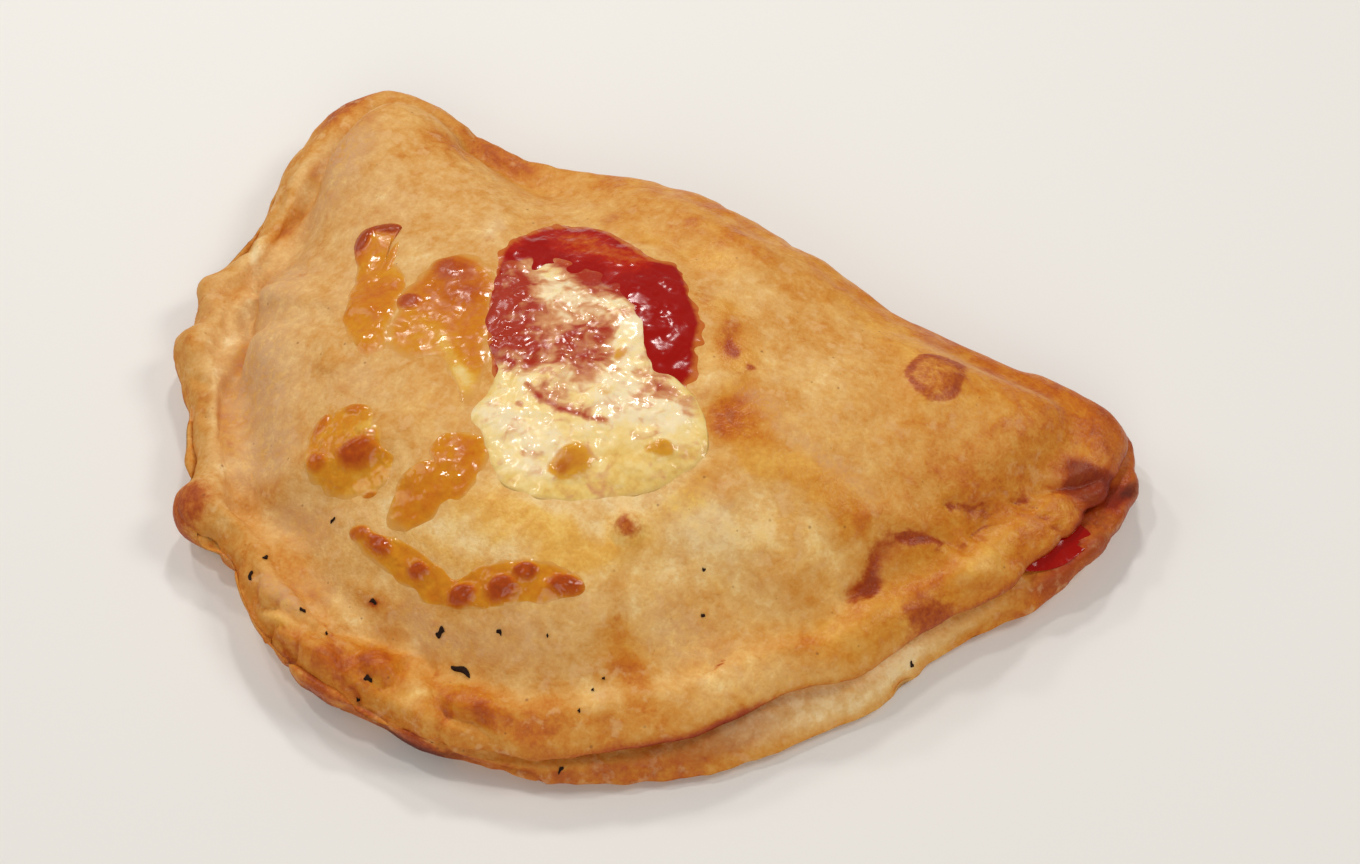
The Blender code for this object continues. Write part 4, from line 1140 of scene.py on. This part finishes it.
# Where the cheese lies over the sauce, so that less of the red shows.
CHEESE_OVER = (
    (-16, 21, 8.5, 5, -14, 0.62), (-7, 22, 6, 4, 0, 0.26), (-22, 28, 8, 3, 10, 0.3),
    (-4, 26, 7, 2.4, -20, 0.4), (5, 20, 2.4, 9, -12, 0.62), (8, 12, 4, 6, 20, 0.5),
    (-3, 8, 6, 1.6, 30, 0.3), (-14, 1, 6, 1.4, 10, 0.3), (-27, 8, 5, 2, 20, 0.25),
)
CHEESE_ORANGE = ((-24, 38, 14, 6.5, 4, 1.0), (-11, 38, 8, 4, -20, 0.8), (-34, 28, 4, 6, 0, 0.5))
CHEESE_THICK = (
    (-8, 16, 26, 20, 0, 0.26), (-24, 22, 5, 4, 0, 0.3), (-12, 20, 5, 6, 0, 0.3), (-16, -16, 4, 4, 0, 0.2),
    (0, -18, 10, 6, 0, 0.25), (15, 0, 9, 6, 0, 0.3), (4, 24, 2.4, 6, -20, 0.25), (25, 2, 8, 5, 0, 0.2),
    (24, -13, 9, 6, 30, -0.26), (15, -24, 10, 3, 20, -0.2), (33, -5, 3, 6, 0, -0.14),
    (4, -26, 6, 2.6, 0, 0.3), (-10, -17, 5, 4, 0, 0.2),
)
DARK_STREAK = ((-9, -6.2), (-2.9, -8.5), (2.8, -8.7), (8, -7.9), (13.7, -6.8))


# Where the sauce is thin and orange, or thick: x, y, radii, turn, amount.
TOMATO_THIN = (
    (-24, 43, 12, 6, 0, 0.6), (-9, 42, 6, 5, 0, 0.5), (-39, 34, 3, 10, 0, 0.4),
    (14, 26, 14, 8, -50, -0.2),
)


def make_tomato(crust):
    def depth(x, y, share):
        return domed(share, 1.1, 0.3) + 0.18 * rough(x, y, 2.6) + 0.25 * rough(x, y, 6, 9)

    def thin(x, y, share):
        base = 0.04 + 0.5 * blend(share, 0.86, 1.0)
        return base + laid(x, y, TOMATO_THIN)

    make_topping(
        "tomato_sauce", pool_plan((-8, 22), TOMATO_OUTLINE), depth,
        {"thin": thin, "edge": lambda x, y, share: 1.1 * blend(share, 0.84, 0.97)},
        sauce_look(), "tomato_pool", crust, 320, 110, ragged=1.0, ragged_size=7,
    )


def make_mozzarella(crust):
    top = bpy.context.scene.calzone_toppings.cheese_depth / MM

    def depth(x, y, share):
        body = domed(share, top, 0.3, 3.2) * (0.72 + 0.28 * blend(-y, -14, 2))
        lobes = 0.7 * spot(x, y, -17, 20, 9, 7) + 0.5 * spot(x, y, 18, -2, 12, 8)
        uneven = 0.3 * rough(x, y, 3.2) + 0.4 * rough(x, y, 7, 5)
        return body + lobes + bubbled(x, y, CHEESE_BUBBLES) + uneven

    def thin(x, y, share):
        return 0.32 + 0.2 * blend(share, 0.8, 1.0) - laid(x, y, CHEESE_THICK)

    def stained(x, y, share):
        line = 0.7 * on_line(x, y, DARK_STREAK, 0.8)
        beside_sauce = 0.9 * blend(share, 0.86, 0.99) * blend(y - 0.5 * x, 4, 14)
        red = np.clip(laid(x, y, CHEESE_RED) - 0.3 * blend(-y, -2, 10), 0, 1.3) - laid(x, y, CHEESE_OVER)
        return red + line + beside_sauce

    fields = {
        "thin": thin,
        "stained": stained,
        "orange": lambda x, y, share: laid(x, y, CHEESE_ORANGE),
        "edge": lambda x, y, share: blend(share, 0.93, 1.0) * blend(-y, -6, 4),
        "browned": lambda x, y, share: laid(x, y, CHEESE_BROWN),
    }
    make_topping(
        "mozzarella", pool_plan((0, 4), CHEESE_OUTLINE), depth, fields, mozzarella_look(),
        "cheese_pool", crust, 400, 140, ragged=0.7, ragged_size=7,
    )


PATCH_OUTLINE = (
    (-57, 6.6), (-55.5, 13.3), (-54, 19), (-50, 24), (-45, 26), (-40, 24), (-34, 19), (-30, 11), (-25, 3),
    (-20.5, -5), (-17.5, -13), (-19, -17), (-24.8, -13.5), (-30, -11), (-35, -10), (-40, -11),
    (-45.4, -10.8), (-49.5, -9.4), (-53.5, 1),
)
PATCH_BUBBLES = ((-52, 5.5, 3.4, 2.6, 0, 0.8), (-47, 19, 6, 4, 0, 0.5), (-40, 12, 5, 4, 0, 0.3))
PATCH_BROWN = (
    (-52.5, 5.3, 3.8, 3, 20, 0.06), (-49, 20, 4, 4, 0, 0.12), (-45, 14, 9, 7, 0, 0.1),
    (-36, 14, 5, 5, 0, 0.08), (-38, -3, 12, 4.5, -25, -0.16), (-24, -11, 6, 3.6, -20, -0.3),
    (-34, -4, 5, 1.4, -35, -0.16), (-26, -9, 4, 1.4, -35, -0.16), (-45, -7, 5, 3, 0, -0.1),
)
PATCH_RED = ((-31, 13, 2, 5, 20, 0.4), (-27, 6, 2, 4, 40, 0.4))
CURL_OUTLINE = (
    (-74.6, 13.9), (-79, 18.9), (-79, 23.1), (-76.5, 26.4), (-70, 27.8), (-67, 25), (-68, 20.5),
    (-64, 16.5), (-56, 12.4), (-54, 4.4), (-50, -5.5), (-47.2, -11.2), (-48.5, -14.9), (-53.9, -14),
    (-60.4, -10.8), (-66.6, -2.6), (-71, 6.3),
)
CURL_BUBBLES = ((-77.6, 20.5, 2.0, 4.0, 10, 1.0), (-73, 26, 4.6, 1.7, 15, 1.0), (-60, 4, 5, 8, 40, 0.3))
CURL_BROWN = (
    (-77.6, 20.6, 2.2, 5, 10, 0.4), (-72.6, 25.8, 5.6, 2, 15, 0.4), (-74.6, 14.6, 1.6, 2.4, 0, 0.16),
    (-57, 9, 3, 2, -30, 0.1), (-66, -2, 2.4, 4, 40, 0.1), (-54, -12, 3, 2, 0, 0.12),
)
RING_OUTLINE = (
    (-24.5, -38), (-25.5, -34.5), (-31, -33), (-37, -30), (-40, -25.6), (-46, -24.8), (-51, -28),
    (-54, -34), (-52.5, -40), (-48, -45.5), (-41, -47), (-34, -47), (-27, -44.5),
)
RING_BUBBLES = (
    (-37.2, -37.4, 5.0, 3.4, 25, 1.1), (-46.5, -42.3, 2.6, 2.0, 0, 0.9),
    (-28.6, -44.6, 2.2, 1.3, 20, 0.9), (-45, -27, 3, 1.6, 20, 0.6), (-51.5, -33, 1.6, 3, 0, 0.5),
)
RING_BROWN = ((-51.5, -34, 2, 6, 10, 0.1), (-39, -31, 5, 1.6, 30, -0.16), (-32, -42, 4, 3, 0, -0.1))
RING_RED = ((-26.6, -35.3, 1.2, 1.1, 0, 1.0),)
DRIP_OUTLINE = (
    (-21, -28.5), (-15.8, -22.5), (-10.5, -20.5), (-6.5, -26), (-5.3, -33), (-6, -38.5), (-10, -42),
    (-12, -46), (-15.4, -50), (-21, -49.5), (-23.5, -43.5), (-23, -37.5), (-19, -33),
)
DRIP_BROWN = ((-12, -27, 4, 3, 0, 0.08), (-15, -44, 6, 6, 0, 0.06), (-8, -35, 2, 6, 0, 0.06))
RIDGE_LINE = (
    (-31, -52.4), (-26, -52.8), (-18, -53.4), (-11, -54.4), (-3, -55.6), (4, -54.5), (11, -50.8),
    (18, -46.8), (25, -43), (30, -40.6),
)
RIDGE_WIDTHS = (1.4, 2.8, 3.4, 3.7, 3.4, 3.8, 5.0, 5.0, 4.2, 1.6)
RIDGE_BUBBLES = (
    (-27.0, -52.4, 3.0, 1.6, 12, 0.8), (-20.6, -53.2, 3.8, 1.9, -5, 1.0),
    (-8.5, -54.6, 2.5, 1.7, 20, 1.0), (4.0, -55.3, 3.1, 2.3, 25, 1.2), (12.4, -51.0, 3.5, 2.6, 30, 1.25),
    (15.6, -45.8, 2.8, 1.9, 25, 1.25), (25.2, -43.9, 4.2, 2.3, 27, 1.3),
)


def browned_pieces():
    """Every piece of browned cheese: node, plan, height, bubbles, brown spots, red spots, usual brownness
    and how wet it is."""
    patch = pool_plan((-39, 6), PATCH_OUTLINE)
    curl = pool_plan((-65, 7), CURL_OUTLINE)
    ring = pool_plan((-39, -36), RING_OUTLINE)
    drip = pool_plan((-14.5, -34), DRIP_OUTLINE)
    ridge = strip_plan(RIDGE_LINE, RIDGE_WIDTHS)
    return (
        ("cheese_patch", patch, 0.7, PATCH_BUBBLES, PATCH_BROWN, PATCH_RED, 0.56, 0.7),
        ("cheese_curl", curl, 0.6, CURL_BUBBLES, CURL_BROWN, (), 0.48, 0.8),
        ("cheese_ring", ring, 0.5, RING_BUBBLES, RING_BROWN, RING_RED, 0.44, 2.0),
        ("cheese_drip", drip, 0.35, (), DRIP_BROWN, (), 0.5, 1.2),
        ("cheese_ridge", ridge, 0.4, RIDGE_BUBBLES, (), (), 0.5, 2.0),
    )


def make_browned(crust):
    look = browned_look()
    for name, plan, height, bubbles, brown, red, usual, wet in browned_pieces():
        def depth(x, y, share, height=height, bubbles=bubbles):
            body = domed(share, height, 0.25, 3.0) + bubbled(x, y, bubbles) * (1 - share**8)
            return body + 0.12 * rough(x, y, 2.4) + 0.2 * rough(x, y, 5, 3)

        def browned(x, y, share, brown=brown, bubbles=bubbles, usual=usual):
            risen = 0.36 * bubbled(x, y, bubbles)
            return usual + laid(x, y, brown) + risen - 0.12 * blend(share, 0.6, 1.0)

        def stained(x, y, share, red=red):
            return np.zeros_like(x) + laid(x, y, red)

        def fade(x, y, share, brown=brown, bubbles=bubbles):
            kept = np.clip(4 * laid(x, y, brown) + bubbled(x, y, bubbles), 0, 1)
            return blend(share, 0.68, 0.98) * (1 - 0.85 * kept)

        def wetness(x, y, share, wet=wet):
            return np.full_like(x, wet)

        fields = {"browned": browned, "stained": stained, "edge": fade, "wet": wetness}
        make_topping(name, plan, depth, fields, look, name, crust, 224, 72)


# ---------------------------------------------------------------- filling and flecks

FILLING_SEGMENTS = 640
FILLING_RINGS = 96
FILLING_INSET = 24.0  # from the crust's outline, where the filling doesn't reach the seam
FILLING_HALF = 11.0  # half the filling's thickness in the middle
TONGUE_HALF = 1.4  # and where its tongue comes out of the seam
TONGUE_ANGLE = 16.5  # where the seam is open
TONGUE_SPREAD = 5.0  # to either side of that, in degrees
TONGUE_REACH = 5.6  # how far the tongue lies out over the lower leaf


def make_filling():
    """The filling's core, and its tongue of sauce that comes out of the seam."""
    obj, angle, ring = add_ball("filling_sauce", FILLING_SEGMENTS, FILLING_RINGS)
    polar = np.pi * ring / FILLING_RINGS
    opening = np.exp(-(((angle - TONGUE_ANGLE) / TONGUE_SPREAD) ** 4))
    reach, edge, flange = around(OUTLINE, angle), around(EDGE, angle), around(FLANGE, angle)
    inner = reach - FILLING_INSET
    tip = reach - flange + TONGUE_REACH
    out = (inner + (tip - inner) * opening) * np.sin(polar) ** 0.5
    x, y = out * np.cos(np.radians(angle)), out * np.sin(np.radians(angle))
    outwards = np.clip(out / (reach - flange), 0, 1) ** 2
    half = FILLING_HALF + (TONGUE_HALF - FILLING_HALF) * outwards
    z = edge + 1.0 + 4.6 * (1 - outwards) - half * np.cos(polar)
    points = np.stack([x, y, z], axis=1)
    points[:, 2] += 0.2 * GRAIN(points, 7)
    set_points(obj, points * MM)
    store(obj, "thin", np.full(len(points), 0.0))
    store(obj, "edge", np.zeros(len(points)))
    finish_piece(obj, sauce_look("filling sauce"), "filling")


# Charred herb flecks: x, y, length, width, turn.
FLECKS = (
    (2.5, -62.8, 2.0, 1.6, 40), (11, -67.3, 5.2, 1.2, -4), (-6.6, -79.2, 1.9, 1.3, 30),
    (-29.8, -72.4, 1.3, 1.0, 60), (-47.4, -69.9, 2.0, 0.9, -60), (-46.4, -64.8, 1.5, 0.8, 80),
    (-36, -51, 1.2, 0.9, 10), (16, -58.2, 1.4, 0.7, -15), (41, -73.5, 1.6, 0.5, 70),
    (-16, -63.2, 1.8, 0.7, 5), (-22, -74, 0.8, 0.6, 0), (48.8, -22.6, 0.9, 0.5, 10),
    (53, -30.3, 1.0, 0.6, 10), (40.8, -54, 0.7, 0.5, 0), (40, -57.4, 0.6, 0.5, 0),
    (40, -63.2, 0.7, 0.6, 0), (26.3, -54, 0.6, 0.5, 0), (97, -8.4, 1.0, 0.9, 0), (-7.2, -83, 0.8, 0.6, 0),
)


def make_flecks(crust):
    """Every fleck is a small crumpled ball, flattened on the crust; they are joined in one piece."""
    made = []
    for i, (x, y, length, width, turn) in enumerate(FLECKS):
        obj = add_ball(f"fleck_{i}", 20, 12)[0]
        co = points_of(obj)
        co /= np.linalg.norm(co, axis=1)[:, None]
        co *= 1 + 0.35 * GRAIN(co + 7 * i, 0.55)[:, None]
        bend = 0.25 * width * np.sin(3 * co[:, 0] + i)
        c, s = math.cos(math.radians(turn)), math.sin(math.radians(turn))
        u, v = co[:, 0] * length / 2, co[:, 1] * width / 2 + bend
        dropped = np.stack([x + c * u - s * v, y + s * u + c * v, np.full(len(co), DROP_HEIGHT)], axis=1)
        set_points(obj, dropped * MM)
        store(obj, "lift", co[:, 2] * 0.36 + 0.2)
        made.append(obj)
    deselect_all()
    for obj in made:
        obj.select_set(True)
    bpy.context.view_layer.objects.active = made[0]
    bpy.ops.object.join()
    obj = bpy.context.object
    obj.name = obj.data.name = "herb_flecks"
    lay_on(obj, crust)
    lift = np.empty(len(obj.data.vertices))
    obj.data.attributes["lift"].data.foreach_get("value", lift)
    points = points_of(obj)
    points[:, 2] += lift * MM
    set_points(obj, points)
    finish_piece(obj, charred_look())


# ---------------------------------------------------------------- the stage

FLOOR_SIZE = 24.0
FLOOR_HEIGHT = -0.0002  # just under the calzone's base
STUDIO_COLOUR = (1.0, 0.97, 0.93, 1)
STUDIO_STRENGTH = 0.24
LIGHT_AIM = Vector((0.0, 0.0, 0.02))
CAMERA_AIM = Vector((0.0191, 0.0182, 0.0135))
# Round lights: name, place, width, power, colour. The small lamps make the glints on the wet cheese.
LIGHTS = (
    ("key", (0.6, 0.48, 0.85), 0.35, 3.1, (1.0, 0.97, 0.93)),
    ("front fill", (0.45, -0.85, 0.7), 0.9, 4.2, (1.0, 0.97, 0.94)),
    ("left fill", (-1.0, -0.2, 0.7), 0.6, 1.9, (1.0, 0.98, 0.95)),
    ("lamp", (-0.3, 0.62, 0.7), 0.1, 1.9, (1.0, 0.98, 0.95)),
    ("left lamp", (-0.7, 0.35, 0.65), 0.1, 1.2, (1.0, 0.98, 0.95)),
    ("front lamp", (-0.46, 0.05, 0.88), 0.08, 1.4, (1.0, 0.98, 0.95)),
)


def add_light(name, place, size, power, colour):
    light = bpy.data.lights.new(name, "AREA")
    light.shape = "DISK"
    light.size = size
    light.energy = power
    light.color = colour
    obj = bpy.data.objects.new(name, light)
    bpy.context.scene.collection.objects.link(obj)
    obj.location = place
    obj.rotation_euler = (LIGHT_AIM - Vector(place)).to_track_quat("-Z", "Y").to_euler()


def add_floor(colour):
    deselect_all()
    bpy.ops.mesh.primitive_plane_add(size=FLOOR_SIZE, location=(0, 0, FLOOR_HEIGHT))
    floor = bpy.context.object
    floor.name = "floor"
    look = bpy.data.materials.new("floor")
    look.use_nodes = True
    shader = look.node_tree.nodes["Principled BSDF"]
    shader.inputs["Base Color"].default_value = (*colour, 1)
    shader.inputs["Roughness"].default_value = 0.7
    floor.data.materials.append(look)


def add_camera(made):
    lens = bpy.data.cameras.new("camera")
    lens.lens = made.lens
    camera = bpy.data.objects.new("camera", lens)
    bpy.context.scene.collection.objects.link(camera)
    flat, height = math.cos(made.elevation), math.sin(made.elevation)
    back = Vector((math.sin(made.azimuth) * flat, -math.cos(made.azimuth) * flat, height))
    camera.location = CAMERA_AIM + back * made.distance
    camera.rotation_euler = (-back).to_track_quat("-Z", "Y").to_euler()
    bpy.context.scene.camera = camera


def make_stage():
    scene = bpy.context.scene
    add_floor(scene.calzone_stage.floor)
    world = bpy.data.worlds.new("studio")
    scene.world = world
    world.use_nodes = True
    background = world.node_tree.nodes["Background"]
    background.inputs["Color"].default_value = STUDIO_COLOUR
    background.inputs["Strength"].default_value = STUDIO_STRENGTH
    for row in LIGHTS:
        add_light(*row)
    scene.view_settings.view_transform = "Standard"
    scene.view_settings.look = "None"
    add_camera(scene.calzone_stage)


# ---------------------------------------------------------------- operators

class CALZONE_OT_crust(bpy.types.Operator):
    """Model the folded crust with its rim, creases and blisters"""

    bl_idname = "calzone.crust"
    bl_label = "Crust"

    def execute(self, context):
        make_crust()
        return {"FINISHED"}


class CALZONE_OT_filling(bpy.types.Operator):
    """Model the filling that shows in the seam"""

    bl_idname = "calzone.filling"
    bl_label = "Filling"

    def execute(self, context):
        make_filling()
        return {"FINISHED"}


class CALZONE_OT_tomato(bpy.types.Operator):
    """Model the pool of tomato sauce"""

    bl_idname = "calzone.tomato"
    bl_label = "Tomato sauce"

    def execute(self, context):
        make_tomato(bpy.data.objects["crust"])
        return {"FINISHED"}


class CALZONE_OT_mozzarella(bpy.types.Operator):
    """Model the pool of melted mozzarella"""

    bl_idname = "calzone.mozzarella"
    bl_label = "Mozzarella"

    def execute(self, context):
        make_mozzarella(bpy.data.objects["crust"])
        return {"FINISHED"}


class CALZONE_OT_browned_cheese(bpy.types.Operator):
    """Model the pieces of browned cheese"""

    bl_idname = "calzone.browned_cheese"
    bl_label = "Browned cheese"

    def execute(self, context):
        make_browned(bpy.data.objects["crust"])
        return {"FINISHED"}


class CALZONE_OT_flecks(bpy.types.Operator):
    """Model the charred herb flecks"""

    bl_idname = "calzone.flecks"
    bl_label = "Herb flecks"

    def execute(self, context):
        make_flecks(bpy.data.objects["crust"])
        return {"FINISHED"}


class CALZONE_OT_stage(bpy.types.Operator):
    """Set up the floor, the lights and the camera"""

    bl_idname = "calzone.stage"
    bl_label = "Stage"

    def execute(self, context):
        make_stage()
        return {"FINISHED"}


class CALZONE_PT_panel(bpy.types.Panel):
    """Settings and steps of the calzone"""

    bl_label = "Calzone"
    bl_idname = "CALZONE_PT_panel"
    bl_space_type = "VIEW_3D"
    bl_region_type = "UI"
    bl_category = "Calzone"

    def draw(self, context):
        scene = context.scene
        for group in (scene.calzone_crust, scene.calzone_toppings, scene.calzone_stage):
            box = self.layout.box()
            for name in group.bl_rna.properties.keys():
                if name not in ("rna_type", "name"):
                    box.prop(group, name)
        for operator in OPERATORS:
            self.layout.operator(operator.bl_idname)


SETTINGS = (CrustSettings, ToppingSettings, StageSettings)
OPERATORS = (
    CALZONE_OT_crust, CALZONE_OT_filling, CALZONE_OT_tomato, CALZONE_OT_mozzarella,
    CALZONE_OT_browned_cheese, CALZONE_OT_flecks, CALZONE_OT_stage,
)


def register():
    for cls in (*SETTINGS, *OPERATORS, CALZONE_PT_panel):
        bpy.utils.register_class(cls)
    bpy.types.Scene.calzone_crust = bpy.props.PointerProperty(type=CrustSettings)
    bpy.types.Scene.calzone_toppings = bpy.props.PointerProperty(type=ToppingSettings)
    bpy.types.Scene.calzone_stage = bpy.props.PointerProperty(type=StageSettings)


def unregister():
    del bpy.types.Scene.calzone_stage
    del bpy.types.Scene.calzone_toppings
    del bpy.types.Scene.calzone_crust
    for cls in (CALZONE_PT_panel, *reversed(OPERATORS), *reversed(SETTINGS)):
        bpy.utils.unregister_class(cls)


def main():
    register()
    bpy.ops.calzone.crust()
    bpy.ops.calzone.filling()
    bpy.ops.calzone.tomato()
    bpy.ops.calzone.mozzarella()
    bpy.ops.calzone.browned_cheese()
    bpy.ops.calzone.flecks()
    bpy.ops.calzone.stage()


if __name__ == "__main__":
    main()
